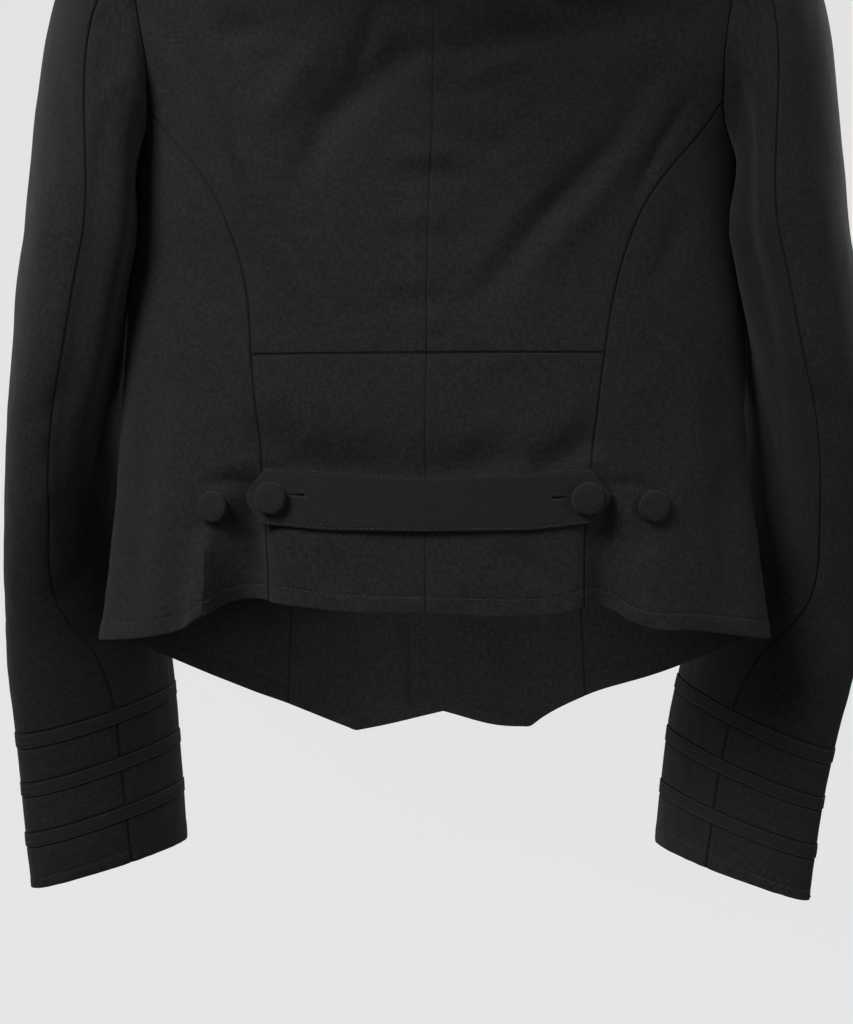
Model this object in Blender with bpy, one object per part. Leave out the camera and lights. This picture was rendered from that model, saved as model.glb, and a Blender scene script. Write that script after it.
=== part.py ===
# A fitted napoleon jacket hung on a plain hanger. The origin is the seat of the hanger's hook,
# +Z is up, the back of the jacket faces -Y and the wearer's right is +X. Metres throughout.
import math

import bpy
import numpy as np

WALL = 0.0016  # suiting with its turnings, as one wall
KEEP_BACK = 0.00016  # each piece stops this far short of a seam line
ROUND = 2.5  # how square the body's section is (2 is an ellipse)
HALF_TURN = 0.43  # about half the way round the body, used to measure insets

NAPE_Z = -0.100
NECK_X, NECK_Z = 0.070, -0.080
SHOULDER_X, SHOULDER_Z = 0.194, -0.125
SHOULDER_FALL = 0.095  # the body reaches its full depth this far below the shoulder line
FRONT_NECK_Z = -0.168
WAIST_Z = -0.4395
UNDERARM_Z = -0.318
SHOULDER_TURN = math.atan2(NECK_Z - SHOULDER_Z, SHOULDER_X - NECK_X)
SHOULDER_SIN, SHOULDER_COS = math.sin(SHOULDER_TURN), math.cos(SHOULDER_TURN)
SIDE_SEAM = 0.475  # share of the way from centre back to centre front
LAP = {-1: 0.022, 1: 0.016}  # how far each front runs past the centre
UNDER_LAP = 0.0024  # the wearer's right front lies this far inside the left

COLLAR_HEIGHT = 0.038
BELT_THICK, BELT_CLEAR = 0.0026, 0.0008
BUTTON_WIDE, BUTTON_HIGH = 0.0200, 0.0052
FRONT_BUTTONS = (-0.205, -0.280, -0.355, -0.430, -0.505, -0.580)
HANGER_REACH, HANGER_CLEAR = 0.172, 0.0046
WIRE, HOOK_ROUND = 0.0034, 0.0200
BRAID_WIDE, BRAID_THICK, BRAID_CLEAR = 0.0098, 0.0010, 0.0006
BRAID_UP = (0.038, 0.075, 0.111)  # middles of the three braids above the cuff's edge

# z, half width, half depth of the body; above the underarm the armhole cuts the width
BODY = [
    (-0.730, 0.2190, 0.0655), (-0.660, 0.2170, 0.0660), (-0.604, 0.2125, 0.0665),
    (-0.570, 0.2080, 0.0675), (-0.525, 0.2035, 0.0685), (-0.485, 0.2010, 0.0695),
    (-0.440, 0.1990, 0.0710), (-0.382, 0.1955, 0.0735), (-0.329, 0.1915, 0.0755),
    (-0.305, 0.1920, 0.0755), (-0.285, 0.1975, 0.0752), (-0.260, 0.2095, 0.0745),
    (-0.228, 0.2230, 0.0735), (-0.170, 0.2400, 0.0690), (-0.125, 0.2500, 0.0640),
    (-0.080, 0.2550, 0.0600), (-0.030, 0.2600, 0.0580),
]
# z, sideways drift of the whole body: the upper back hangs a little to the right
DRIFT = [(-0.75, 0.0), (-0.43, 0.0), (-0.36, 0.0014), (-0.29, 0.0040), (-0.228, 0.0042), (-0.17, 0.0026),
         (-0.12, 0.0008), (-0.06, 0.0), (0, 0)]
# z, distance of the back princess seam from centre back, left and right
BACK_SEAM = {
    -1: [(-0.284, 0.1785), (-0.305, 0.1610), (-0.326, 0.1425), (-0.347, 0.1290), (-0.373, 0.1180),
         (-0.401, 0.1105), (-0.4395, 0.1070), (-0.4845, 0.1026), (-0.548, 0.0993), (-0.592, 0.1010)],
    1: [(-0.284, 0.1755), (-0.305, 0.1620), (-0.326, 0.1450), (-0.347, 0.1310), (-0.373, 0.1200),
        (-0.401, 0.1125), (-0.4395, 0.1068), (-0.4845, 0.1020), (-0.548, 0.0966), (-0.592, 0.0958)],
}
# z, distance of the front princess seam from the centre
FRONT_SEAM = [(-0.296, 0.1660), (-0.315, 0.1480), (-0.345, 0.1260), (-0.385, 0.1090), (-0.440, 0.0990),
              (-0.520, 0.0960), (-0.600, 0.0985), (-0.664, 0.1010)]
# distance from the centre, z of the hem: back, then front
BACK_HEM = {
    -1: [(0.0, -0.5965), (0.052, -0.5950), (0.082, -0.5920), (0.101, -0.5900), (0.112, -0.5900),
         (0.127, -0.5930), (0.142, -0.6030), (0.154, -0.6080), (0.166, -0.6110), (0.2125, -0.6165)],
    1: [(0.0, -0.5965), (0.068, -0.5974), (0.083, -0.5960), (0.0958, -0.5920), (0.108, -0.5914),
        (0.114, -0.5944), (0.124, -0.6010), (0.134, -0.6045), (0.164, -0.6070), (0.2125, -0.6145)],
}
FRONT_HEM = {
    -1: [(-0.022, -0.6665), (-0.010, -0.6690), (0.0, -0.6715), (0.050, -0.6830), (0.055, -0.6838),
         (0.061, -0.6815), (0.101, -0.6655), (0.150, -0.6460), (0.2125, -0.6165)],
    1: [(-0.022, -0.6640), (-0.013, -0.6660), (0.0, -0.6690), (0.057, -0.6805), (0.064, -0.6800),
        (0.070, -0.6755), (0.101, -0.6590), (0.150, -0.6425), (0.2125, -0.6145)],
}
# The armhole from the shoulder point: distance from centre and z, back then front
ARM_BACK = {
    -1: [(0.1940, -0.1250), (0.1935, -0.1320), (0.1925, -0.1450), (0.1905, -0.1660),
         (0.1880, -0.1930), (0.1845, -0.2240), (0.1795, -0.2560), (0.1785, -0.2840)],
    1: [(0.1940, -0.1250), (0.1930, -0.1320), (0.1910, -0.1450), (0.1880, -0.1660),
        (0.1840, -0.1930), (0.1800, -0.2240), (0.1755, -0.2560), (0.1755, -0.2840)],
}
ARM_FRONT = [(0.1940, -0.1250), (0.1925, -0.1320), (0.1880, -0.1450), (0.1800, -0.1660),
             (0.1715, -0.1930), (0.1645, -0.2260), (0.1620, -0.2620), (0.1660, -0.2960)]
# Largest folds: side, places (x, z) it runs through, outward height at each, half width
FOLDS = [
    ("back", [(-0.121, -0.536), (-0.118, -0.565), (-0.116, -0.600)], (0.0, -0.004, -0.010), 0.0130),
    ("back", [(-0.141, -0.544), (-0.140, -0.570), (-0.140, -0.606)], (0.0, 0.003, 0.008), 0.0110),
    ("back", [(0.116, -0.536), (0.117, -0.565), (0.118, -0.600)], (0.0, -0.003, -0.007), 0.0130),
    ("back", [(0.144, -0.546), (0.145, -0.575), (0.146, -0.606)], (0.0, 0.002, 0.005), 0.0130),
]
# x, z of the half belt's upper and lower edges
BELT_TOP = [(-0.1085, -0.5225), (-0.0970, -0.5082), (-0.0580, -0.5110), (0.0, -0.5140), (0.0560, -0.5122),
            (0.0990, -0.5088), (0.1105, -0.5235)]
BELT_FOOT = [(-0.1085, -0.5295), (-0.0990, -0.5425), (-0.0600, -0.5462), (0.0, -0.5470), (0.0620, -0.5462),
             (0.1000, -0.5420), (0.1105, -0.5300)]
# Sleeve: z, centre x left, centre x right, centre y, half length and half breadth of the
# section, the turn of its long way from straight front-to-back, the places of the back and
# front seams round it (0 outward, 90 to the long way's near end), in degrees, and its skew
SLEEVE = [
    (-0.360, 0.2250, 0.2250, -0.0010, 0.0660, 0.0390, -16.0, 84.0, 240.0, 0.00),
    (-0.410, 0.2330, 0.2330, 0.0060, 0.0620, 0.0380, -8.0, 92.0, 250.0, 0.00),
    (-0.460, 0.2385, 0.2385, 0.0180, 0.0580, 0.0360, 8.0, 106.0, 262.0, 0.00),
    (-0.520, 0.2400, 0.2385, 0.0350, 0.0555, 0.0335, 30.0, 126.0, 280.0, -0.02),
    (-0.580, 0.2410, 0.2340, 0.0530, 0.0555, 0.0300, 48.0, 145.0, 300.0, -0.05),
    (-0.630, 0.2390, 0.2240, 0.0665, 0.0560, 0.0270, 56.0, 176.0, 336.0, -0.10),
    (-0.665, 0.2375, 0.2170, 0.0750, 0.0560, 0.0250, 58.0, 185.0, 349.0, -0.14),
    (-0.700, 0.2360, 0.2110, 0.0830, 0.0560, 0.0238, 60.0, 187.0, 351.0, -0.17),
    (-0.782, 0.2320, 0.2020, 0.0960, 0.0560, 0.0225, 60.0, 189.0, 353.0, -0.19),
]
CAP_ROWS = 5
BACK_COLUMN, FRONT_COLUMN = 4, 17  # columns of the sleeve that its back and front seams follow
SLEEVE_ROWS = (-0.395, -0.430, -0.470, -0.515, -0.560, -0.600, -0.635, -0.665, -0.694, -0.733, -0.782)


def along(table, t, column=1):
    """The smooth value of a table's column at t."""
    k = np.array(sorted(table), float)
    x, y = k[:, 0], k[:, column]
    t = np.clip(np.asarray(t, float), x[0], x[-1])
    m = np.gradient(y, x)
    i = np.clip(np.searchsorted(x, t) - 1, 0, len(x) - 2)
    h = x[i + 1] - x[i]
    u = (t - x[i]) / h
    return (y[i] * (1 + 2 * u) * (1 - u) ** 2 + y[i + 1] * u * u * (3 - 2 * u)
            + h * m[i] * u * (1 - u) ** 2 - h * m[i + 1] * u * u * (1 - u))


LEVELS = np.arange(-0.74, -0.026, 0.004)
SHARES = np.linspace(0, 1, 129)


def ring_table():
    phi = np.linspace(0, math.pi, 1441)
    sx, sy = np.sin(phi), np.cos(phi)
    rows = []
    for z in LEVELS:
        x = along(BODY, z) * np.abs(sx) ** (2 / ROUND)
        y = -along(BODY, z, 2) * np.sign(sy) * np.abs(sy) ** (2 / ROUND)
        run = np.r_[0, np.cumsum(np.hypot(np.diff(x), np.diff(y)))]
        rows.append((np.interp(SHARES, run / run[-1], x), np.interp(SHARES, run / run[-1], y)))
    return np.array(rows)


RING = ring_table()


def ring(s, z):
    """The plain section: x out from the centre and y, at share s of the way from back to front."""
    over = (s > 1) | (s < 0)
    s = np.where(s > 1, 2 - s, np.abs(s))
    i = np.clip((z - LEVELS[0]) / (LEVELS[1] - LEVELS[0]), 0, len(LEVELS) - 1.001)
    j = np.clip(s, 0, 1) * (len(SHARES) - 1.001)
    i0, j0 = i.astype(int), j.astype(int)
    u, v = i - i0, j - j0
    x, y = (
        (RING[i0, c, j0] * (1 - u) + RING[i0 + 1, c, j0] * u) * (1 - v)
        + (RING[i0, c, j0 + 1] * (1 - u) + RING[i0 + 1, c, j0 + 1] * u) * v
        for c in (0, 1)
    )
    return np.where(over, -x, x), y


def shoulder_line(x):
    """Height of the shoulder seam, rounded over inside the neck."""
    x = np.abs(x)
    run = np.where(x < NECK_X, (x * x / NECK_X - NECK_X) / 2, x - NECK_X)
    return NECK_Z + run * (SHOULDER_Z - NECK_Z) / (SHOULDER_X - NECK_X)


def share_at(x, z, front=False):
    """The share of the half ring where the body is x from the centre."""
    grid = np.linspace(0.5, 1, 257) if front else np.linspace(0, 0.5, 257)
    xs = ring(grid, np.full_like(grid, z))[0]
    if front:
        s = np.interp(abs(x), xs[::-1], grid[::-1])
        return s if x >= 0 else 2 - s
    s = np.interp(abs(x), xs, grid)
    return s if x >= 0 else -s


def folds(x, y, z):
    """How far the largest folds stand out from the plain section."""
    out = np.zeros_like(x)
    for face, places, heights, half in FOLDS:
        best, height = np.full_like(x, 9.0), np.zeros_like(x)
        for (a, b), (ha, hb) in zip(zip(places, places[1:]), zip(heights, heights[1:])):
            dx, dz = b[0] - a[0], b[1] - a[1]
            t = np.clip(((x - a[0]) * dx + (z - a[1]) * dz) / (dx * dx + dz * dz), 0, 1)
            far = np.hypot(x - a[0] - t * dx, z - a[1] - t * dz)
            height = np.where(far < best, ha + (hb - ha) * t, height)
            best = np.minimum(best, far)
        near = (y < 0) if face == "back" else (y > 0)
        out += np.where(near, height * np.exp(-((best / half) ** 2)), 0)
    return out


def body(side, s, z, out=0.0):
    """Places on the body of one side (-1 the wearer's left, 1 the right)."""
    s, z = np.broadcast_arrays(np.asarray(s, float), np.asarray(z, float))
    x, y = ring(s, z)
    a, b = along(BODY, z), along(BODY, z, 2)
    nx = np.sign(x) * (np.abs(x) / a) ** (ROUND - 1) / a
    ny = np.sign(y) * (np.abs(y) / b) ** (ROUND - 1) / b
    long = np.hypot(nx, ny)
    far = folds(side * x, y, z) + out
    rise = np.clip((shoulder_line(x) - z) / SHOULDER_FALL, 0, 1)
    close = (1 - (1 - rise) ** 2) ** 0.7
    return np.stack([side * (x + nx / long * far) + along(DRIFT, z), (y + ny / long * far) * close, z], -1)


def body_normals(side, s, z, out=0.0):
    ds, dz = 2e-4, 4e-4
    low = np.maximum(z - dz, -0.735)
    a = body(side, s + ds, z, out) - body(side, s - ds, z, out)
    b = body(side, s, np.minimum(z + dz, -0.03), out) - body(side, s, low, out)
    n = np.cross(a, b) * side
    return n / np.linalg.norm(n, axis=-1, keepdims=True)


def inset(line, closed_side):
    """A seam line moved into its piece; closed_side is 1 when the piece lies on its left."""
    flat = line * (HALF_TURN, 1.0)
    run = np.gradient(flat, axis=0)
    run /= np.linalg.norm(run, axis=1, keepdims=True)
    return np.stack([-run[:, 1], run[:, 0]], 1) * closed_side * KEEP_BACK / (HALF_TURN, 1.0)


def patch(top, foot, near, away):
    """A grid of (share, z) between four seam lines: top and foot run from centre back or front
    outward with s rising, near and away run downward at low and high s."""
    near_in, away_in = inset(near, 1), inset(away, -1)
    top_in, foot_in = inset(top, -1), inset(foot, 1)
    ridge = np.abs(top[:, 1] - shoulder_line(ring(top[:, 0], top[:, 1])[0])) < 1e-5
    top_in[ridge] = 0
    t, f = top + top_in, foot + foot_in
    n, w = near + near_in, away + away_in
    n[0], n[-1] = near[0] + near_in[0] + top_in[0], near[-1] + near_in[-1] + foot_in[0]
    w[0], w[-1] = away[0] + away_in[0] + top_in[-1], away[-1] + away_in[-1] + foot_in[-1]
    t[0], t[-1], f[0], f[-1] = n[0], w[0], n[-1], w[-1]
    u = np.linspace(0, 1, len(t))[None, :, None]
    v = np.linspace(0, 1, len(n))[:, None, None]
    return ((1 - v) * t[None] + v * f[None] + (1 - u) * n[:, None] + u * w[:, None]
            - (1 - u) * (1 - v) * n[0] - u * (1 - v) * w[0] - (1 - u) * v * n[-1] - u * v * w[-1])


def line(points):
    return np.array(points, float)


def spread(a, b, count, power=1.0):
    return a + (b - a) * np.linspace(0, 1, count + 1) ** power


def seams(side):
    """Every seam line of one half of the body as rows of (share, z)."""
    arm_back = [(share_at(x, z), z) for x, z in ARM_BACK[side]]
    arm_front = [(share_at(x, z, True), z) for x, z in ARM_FRONT]
    back_end, front_end = arm_back[-1], arm_front[-1]
    t = np.linspace(0, 1, 5)
    dip = np.sin(t * math.pi / 2) ** 0.8
    side_back_top = [(back_end[0] + (SIDE_SEAM - back_end[0]) * a, back_end[1] + (UNDERARM_Z - back_end[1]) * d)
                     for a, d in zip(t, dip)]
    side_front_top = [(front_end[0] + (SIDE_SEAM - front_end[0]) * a, front_end[1] + (UNDERARM_Z - front_end[1]) * d)
                      for a, d in zip(t, dip)][::-1]
    z_upper = spread(back_end[1], WAIST_Z, 6)
    table = BACK_SEAM[side]
    upper = [(share_at(along(table, z), z), z) for z in z_upper]
    foot_z = along(BACK_HEM[side], along(table, -0.592))
    lower = [(share_at(along(table, z), z), z) for z in spread(WAIST_Z, foot_z, 7)]
    princess_back = line(upper + lower[1:])
    side_foot = BACK_HEM[side][-1][1]
    side_line = line([(SIDE_SEAM, z) for z in np.r_[spread(UNDERARM_Z, WAIST_Z, 6), spread(WAIST_Z, side_foot, 7)[1:]]])
    front_foot = along(FRONT_HEM[side], 0.101)
    front_z = np.r_[spread(front_end[1], -0.447, 6), spread(-0.447, front_foot, 7)[1:]]
    princess_front = line([(share_at(along(FRONT_SEAM, z), z, True), z) for z in front_z])

    def hem(s0, s1, count, front):
        rows = []
        for s in spread(s0, s1, count):
            z = -0.64 if front else -0.60
            for _ in range(3):
                x = ring(np.array([s]), np.array([z]))[0][0]
                z = float(along((FRONT_HEM if front else BACK_HEM)[side], x))
            rows.append((s, z))
        return rows

    neck = [(NECK_X * math.sin(a), NECK_Z + (NAPE_Z - NECK_Z) * math.cos(a) ** 1.5)
            for a in spread(0, math.pi / 2, 4)]
    shoulder = [(x, shoulder_line(x)) for x in spread(NECK_X, SHOULDER_X, 6)]
    top_back = line([(share_at(x, z), z) for x, z in neck + shoulder[1:]])
    neck_front = [(NECK_X * math.sin(a) ** 0.9, NECK_Z + (FRONT_NECK_Z - NECK_Z) * math.cos(a) ** 1.1)
                  for a in spread(0.12, math.pi / 2, 5)]
    lap_share = LAP[side] / HALF_TURN
    top_front = line([(share_at(x, z, True), z) for x, z in shoulder[::-1]]
                     + [(share_at(x, z, True), z) for x, z in neck_front[::-1][1:]]
                     + [(1.0, FRONT_NECK_Z), (1 + lap_share, FRONT_NECK_Z - 0.002)])
    right_rows = np.r_[[p[1] for p in arm_back], z_upper[1:]]
    centre_back = line([(0.0, NAPE_Z + (z - SHOULDER_Z) * (WAIST_Z - NAPE_Z) / (WAIST_Z - SHOULDER_Z))
                        for z in right_rows])
    centre_low = line([(0.0, z) for z in spread(WAIST_Z, float(along(BACK_HEM[side], 0.0)), 7)])
    edge_foot = float(along(FRONT_HEM[side], -LAP[side]))
    front_rows = np.r_[[p[1] for p in arm_front], front_z[1:]]
    edge_top = FRONT_NECK_Z - 0.002
    edge = line([(1 + lap_share, edge_top + (z - SHOULDER_Z) * (edge_foot - edge_top) / (front_foot - SHOULDER_Z))
                 for z in front_rows])
    waist_back = line([(s, WAIST_Z) for s in spread(0.0, princess_back[6][0], 10)])
    waist_back[-1] = princess_back[6]
    s_back, s_front = princess_back[-1][0], princess_front[-1][0]
    hem_back = line(hem(0.0, s_back, 10, False))
    hem_back[0], hem_back[-1] = centre_low[-1], princess_back[-1]
    hem_side_back = line(hem(s_back, SIDE_SEAM, 4, False))
    hem_side_back[0], hem_side_back[-1] = princess_back[-1], side_line[-1]
    hem_side_front = line(hem(SIDE_SEAM, s_front, 4, True))
    hem_side_front[0], hem_side_front[-1] = side_line[-1], princess_front[-1]
    hem_front = line(hem(s_front, 1 + lap_share, len(top_front) - 1, True))
    hem_front[0], hem_front[-1] = princess_front[-1], edge[-1]
    return {
        "back_upper": (top_back, waist_back, centre_back, line(arm_back + upper[1:])),
        "back_lower": (waist_back, hem_back, centre_low, princess_back[6:]),
        "side_back": (line(side_back_top), hem_side_back, princess_back, side_line),
        "side_front": (line(side_front_top), hem_side_front, side_line, princess_front),
        "front": (top_front, hem_front, line(arm_front + [tuple(p) for p in princess_front[1:]]), edge),
        "armhole": line(arm_back + side_back_top[1:] + side_front_top[1:] + arm_front[::-1][1:]),
    }


def solid(name, outer, inner, closed=False):
    """One closed wall between two grids of places; closed joins the last column to the first."""
    rows, cols = outer.shape[:2]
    count = rows * cols
    faces = []

    def at(i, j, face):
        return face * count + i * cols + j % cols

    last = cols if closed else cols - 1
    for i in range(rows - 1):
        for j in range(last):
            k = (j + 1) % cols
            long = np.linalg.norm(outer[i, j] - outer[i + 1, k]) > np.linalg.norm(outer[i, k] - outer[i + 1, j])
            for face in (0, 1):
                a, b, c, d = at(i, j, face), at(i + 1, j, face), at(i + 1, j + 1, face), at(i, j + 1, face)
                if long:
                    a, b, c, d = b, c, d, a
                faces += [(a, b, c), (a, c, d)] if face == 0 else [(a, c, b), (a, d, c)]
    for j in range(last):
        for i, flip in ((0, True), (rows - 1, False)):
            a, b, c, d = at(i, j, 0), at(i, j + 1, 0), at(i, j + 1, 1), at(i, j, 1)
            faces += [(a, b, c), (a, c, d)] if flip else [(a, c, b), (a, d, c)]
    if not closed:
        for i in range(rows - 1):
            for j, flip in ((0, False), (cols - 1, True)):
                a, b, c, d = at(i, j, 0), at(i + 1, j, 0), at(i + 1, j, 1), at(i, j, 1)
                faces += [(a, b, c), (a, c, d)] if flip else [(a, c, b), (a, d, c)]
    places = np.concatenate([outer.reshape(-1, 3), inner.reshape(-1, 3)])
    return finish(name, places, faces)


def finish(name, places, faces):
    mesh = bpy.data.meshes.new(name)
    mesh.from_pydata([tuple(p) for p in places], [], faces)
    mesh.update()
    volume = 0.0
    for f in faces:
        a, b, c = (places[k] for k in f[:3])
        volume += float(np.dot(a, np.cross(b, c)))
    if volume < 0:
        mesh.flip_normals()
    made = bpy.data.objects.new(name, mesh)
    parts.objects.link(made)
    return made


def look(made, colour, rough, metal=0.0):
    material = bpy.data.materials.new(made.name + "_material")
    material.use_nodes = True
    shader = material.node_tree.nodes["Principled BSDF"]
    shader.inputs["Base Color"].default_value = (*colour, 1)
    shader.inputs["Roughness"].default_value = rough
    shader.inputs["Metallic"].default_value = metal
    made.data.materials.append(material)


for old in list(bpy.data.objects):
    bpy.data.objects.remove(old, do_unlink=True)
parts = bpy.data.collections.new("napoleon_jacket")
bpy.context.scene.collection.children.link(parts)
CLOTH, TRIM, WOOD, STEEL = (0.012, 0.012, 0.014), (0.020, 0.019, 0.021), (0.42, 0.27, 0.15), (0.55, 0.55, 0.56)


def lap_offset(side, s):
    """The wearer's right front steps inward before it reaches the left one's edge."""
    if side < 0:
        return np.zeros_like(s)
    t = np.clip((s - 0.890) / 0.045, 0, 1)
    return -UNDER_LAP * t * t * (3 - 2 * t)


def unit(v):
    return v / np.maximum(np.linalg.norm(v, axis=-1, keepdims=True), 1e-12)


def section(side, z, columns):
    """One ring of the sleeve below the underarm, with a place for each column."""
    column = 1 if side < 0 else 2
    back, front = along(SLEEVE, z, 7), along(SLEEVE, z, 8)
    ends = (front + back) / 2 - 180, (front + back) / 2 + 180
    phi = np.radians(np.interp(np.arange(columns), [0, BACK_COLUMN, FRONT_COLUMN, columns],
                               [ends[0], back, front, ends[1]]))
    cx, cy = along(SLEEVE, z, column), along(SLEEVE, z, 3)
    gx = (along(SLEEVE, z - 0.004, column) - along(SLEEVE, z + 0.004, column)) / 0.008
    gy = (along(SLEEVE, z - 0.004, 3) - along(SLEEVE, z + 0.004, 3)) / 0.008
    half, wide, tilt = along(SLEEVE, z, 4), along(SLEEVE, z, 5), math.radians(along(SLEEVE, z, 6))
    ex = np.cos(phi) * math.cos(tilt) * wide + np.sin(phi) * math.sin(tilt) * half
    ey = np.cos(phi) * math.sin(tilt) * wide - np.sin(phi) * math.cos(tilt) * half
    return np.stack([side * (cx + ex), cy + ey, z + ex * (gx + along(SLEEVE, z, 9)) + ey * gy], -1)


def sleeve_grid(side, arm):
    """The whole sleeve as rows of places: the first row is the armhole's own points."""
    m = len(arm) - 1
    start = body(side, arm[:m, 0], arm[:m, 1])
    rows = [section(side, z, m) for z in SLEEVE_ROWS]
    first = section(side, SLEEVE[0][0], m)
    around = 2 * math.pi * np.arange(m) / m
    down = 0.45 + 0.50 * (1 - np.cos(around)) / 2
    aim = unit(np.stack([side * np.sqrt(1 - down**2), -0.30 * np.sin(around), -down], -1))
    fall = unit(rows[0] - first)
    chord = np.linalg.norm(first - start, axis=1, keepdims=True)
    cap = []
    for t in np.linspace(0, 1, CAP_ROWS + 1):
        cap.append(start * (1 + 2 * t) * (1 - t) ** 2 + first * t * t * (3 - 2 * t)
                   + 0.9 * chord * aim * t * (1 - t) ** 2 - 0.9 * chord * fall * t * t * (1 - t))
    return clear_of_body(side, np.array(cap + rows)), aim


def clear_of_body(side, grid):
    """Sleeve places pushed just clear of the body's section."""
    margin = 0.0035
    x, y, z = grid[..., 0] - along(DRIFT, grid[..., 2]), grid[..., 1], grid[..., 2]
    a, b = along(BODY, z) + margin, along(BODY, z, 2) + margin
    reach = (np.abs(x) / a) ** ROUND + (np.abs(y) / b) ** ROUND
    low = z < UNDERARM_Z - 0.006
    low[0] = False
    grow = np.where(low & (reach < 1), np.maximum(reach, 1e-9) ** (-1 / ROUND), 1.0)
    moved = grid.copy()
    moved[..., 0] = x * grow + along(DRIFT, z)
    moved[..., 1] = y * grow
    return moved


def tube_normals(side, grid):
    wide = np.roll(grid, -1, axis=1) - np.roll(grid, 1, axis=1)
    down = np.gradient(grid, axis=0)
    return unit(np.cross(wide, down)) * side


for side, tag in ((-1, "left"), (1, "right")):
    lines = seams(side)
    for piece in ("back_upper", "back_lower", "side_back", "side_front", "front"):
        grid = patch(*lines[piece])
        s, z = grid[..., 0], grid[..., 1]
        step = lap_offset(side, s) if piece == "front" else 0.0
        outer = body(side, s, z, step)
        normal = body_normals(side, s, z, step)
        ridge = z > shoulder_line(ring(s, z)[0]) - 0.0004
        normal[ridge] = (side * SHOULDER_SIN, 0.0, SHOULDER_COS)
        outer[..., 1] += np.where(ridge, KEEP_BACK * (1 if piece == "front" else -1), 0)
        made = solid(f"{piece}_{tag}", outer, outer - WALL * normal)
        look(made, CLOTH, 0.85)
    tube, aim = sleeve_grid(side, lines["armhole"])
    normal = tube_normals(side, tube)
    tube[0] += aim * KEEP_BACK * 2
    inner = tube - WALL * normal
    m = tube.shape[1]
    for piece, columns in (
        ("under_sleeve", list(range(BACK_COLUMN, FRONT_COLUMN + 1))),
        ("upper_sleeve", [k % m for k in range(FRONT_COLUMN, m + BACK_COLUMN + 1)]),
    ):
        a, b = tube[:, columns].copy(), inner[:, columns].copy()
        for edge, beside in ((0, 1), (-1, -2)):
            shift = unit(a[:, beside] - a[:, edge]) * KEEP_BACK
            a[:, edge] += shift
            b[:, edge] += shift
        look(solid(f"{piece}_{tag}", a, b), CLOTH, 0.85)


def place(x, z, out=0.0):
    """A place on the back at x from the centre back, and the way out of the cloth there."""
    side = -1 if x < 0 else 1
    s = share_at(abs(x), z)
    return body(side, s, z, out), body_normals(side, np.array(s), np.array(float(z)), out)


def collar():
    """One stand collar from the centre front round the nape and back again."""
    foot = []
    for side in (-1, 1):
        lines = seams(side)
        front, back = lines["front"][0][6:12], lines["back_upper"][0][:4][::-1]
        s = np.r_[front[::-1, 0], back[:, 0]]
        z = np.r_[front[::-1, 1], back[:, 1]]
        s[0] = 1 - 0.0009 / HALF_TURN
        step = lap_offset(side, s)
        points = body(side, s, z, step)
        points[5, 1] = 0.0
        foot.append(points)
    ring_foot = np.concatenate([foot[0], foot[1][::-1][1:]])
    away = ring_foot[:, :2] - (0.0, 0.004)
    away = np.c_[unit(away), np.zeros(len(away))]
    ahead = np.clip(ring_foot[:, 1] / 0.06, -1, 1)
    lean = 0.14 + 0.08 * ahead
    up = unit(np.c_[-away[:, :2] * lean[:, None], np.ones(len(away))])
    high = np.full(len(up), COLLAR_HEIGHT)
    high[0] = high[-1] = COLLAR_HEIGHT * 0.86
    base = ring_foot - away * 0.0005 + (0, 0, 0.0004)
    outer = np.stack([base + up * (high * t)[:, None] for t in (0, 0.5, 1)])
    thick = unit(np.cross(np.gradient(outer[0], axis=0), up))
    thick *= np.sign((thick * away).sum(1, keepdims=True))
    return solid("collar", outer, outer - WALL * thick)


def belt():
    stations = [-0.1085, -0.1035, -0.0970, -0.0850, -0.0680, -0.0500, -0.0330, -0.0160, 0.0,
                0.0160, 0.0330, 0.0500, 0.0680, 0.0850, 0.0980, 0.1050, 0.1105]
    faces = []
    for out in (BELT_THICK, 0.0):
        grid = []
        for t in (0, 1 / 3, 2 / 3, 1):
            row = []
            for x in stations:
                z = np.interp(x, *zip(*BELT_TOP)) * (1 - t) + np.interp(x, *zip(*BELT_FOOT)) * t
                row.append(place(x, z, out + BELT_CLEAR + 0.0012 * max(0, 1 - (x / 0.08) ** 2))[0])
            grid.append(row)
        faces.append(np.array(grid))
    return solid("half_belt", *faces)


def button(name, centre, out, wide):
    """A flat-domed covered button turned about the way out of the cloth."""
    out = unit(out)
    across = unit(np.cross(out, (0.0, 0.0, 1.0)))
    up = np.cross(out, across)
    rings = [(0.42, 0.0), (0.50, 0.25), (0.48, 0.62), (0.36, 0.88), (0.18, 0.98)]
    turns = np.linspace(0, 2 * math.pi, 12, endpoint=False)
    places = [centre + out * (h * BUTTON_HIGH) + wide * r * (across * math.cos(t) + up * math.sin(t))
              for r, h in rings for t in turns]
    places += [centre, centre + out * BUTTON_HIGH]
    faces = []
    for i in range(len(rings) - 1):
        for j in range(12):
            a, b = i * 12 + j, i * 12 + (j + 1) % 12
            faces += [(a, b, b + 12), (a, b + 12, a + 12)]
    for j in range(12):
        k, last = (j + 1) % 12, (len(rings) - 1) * 12
        faces += [(len(places) - 2, k, j), (len(places) - 1, last + j, last + k)]
    return finish(name, np.array(places), faces)


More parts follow.
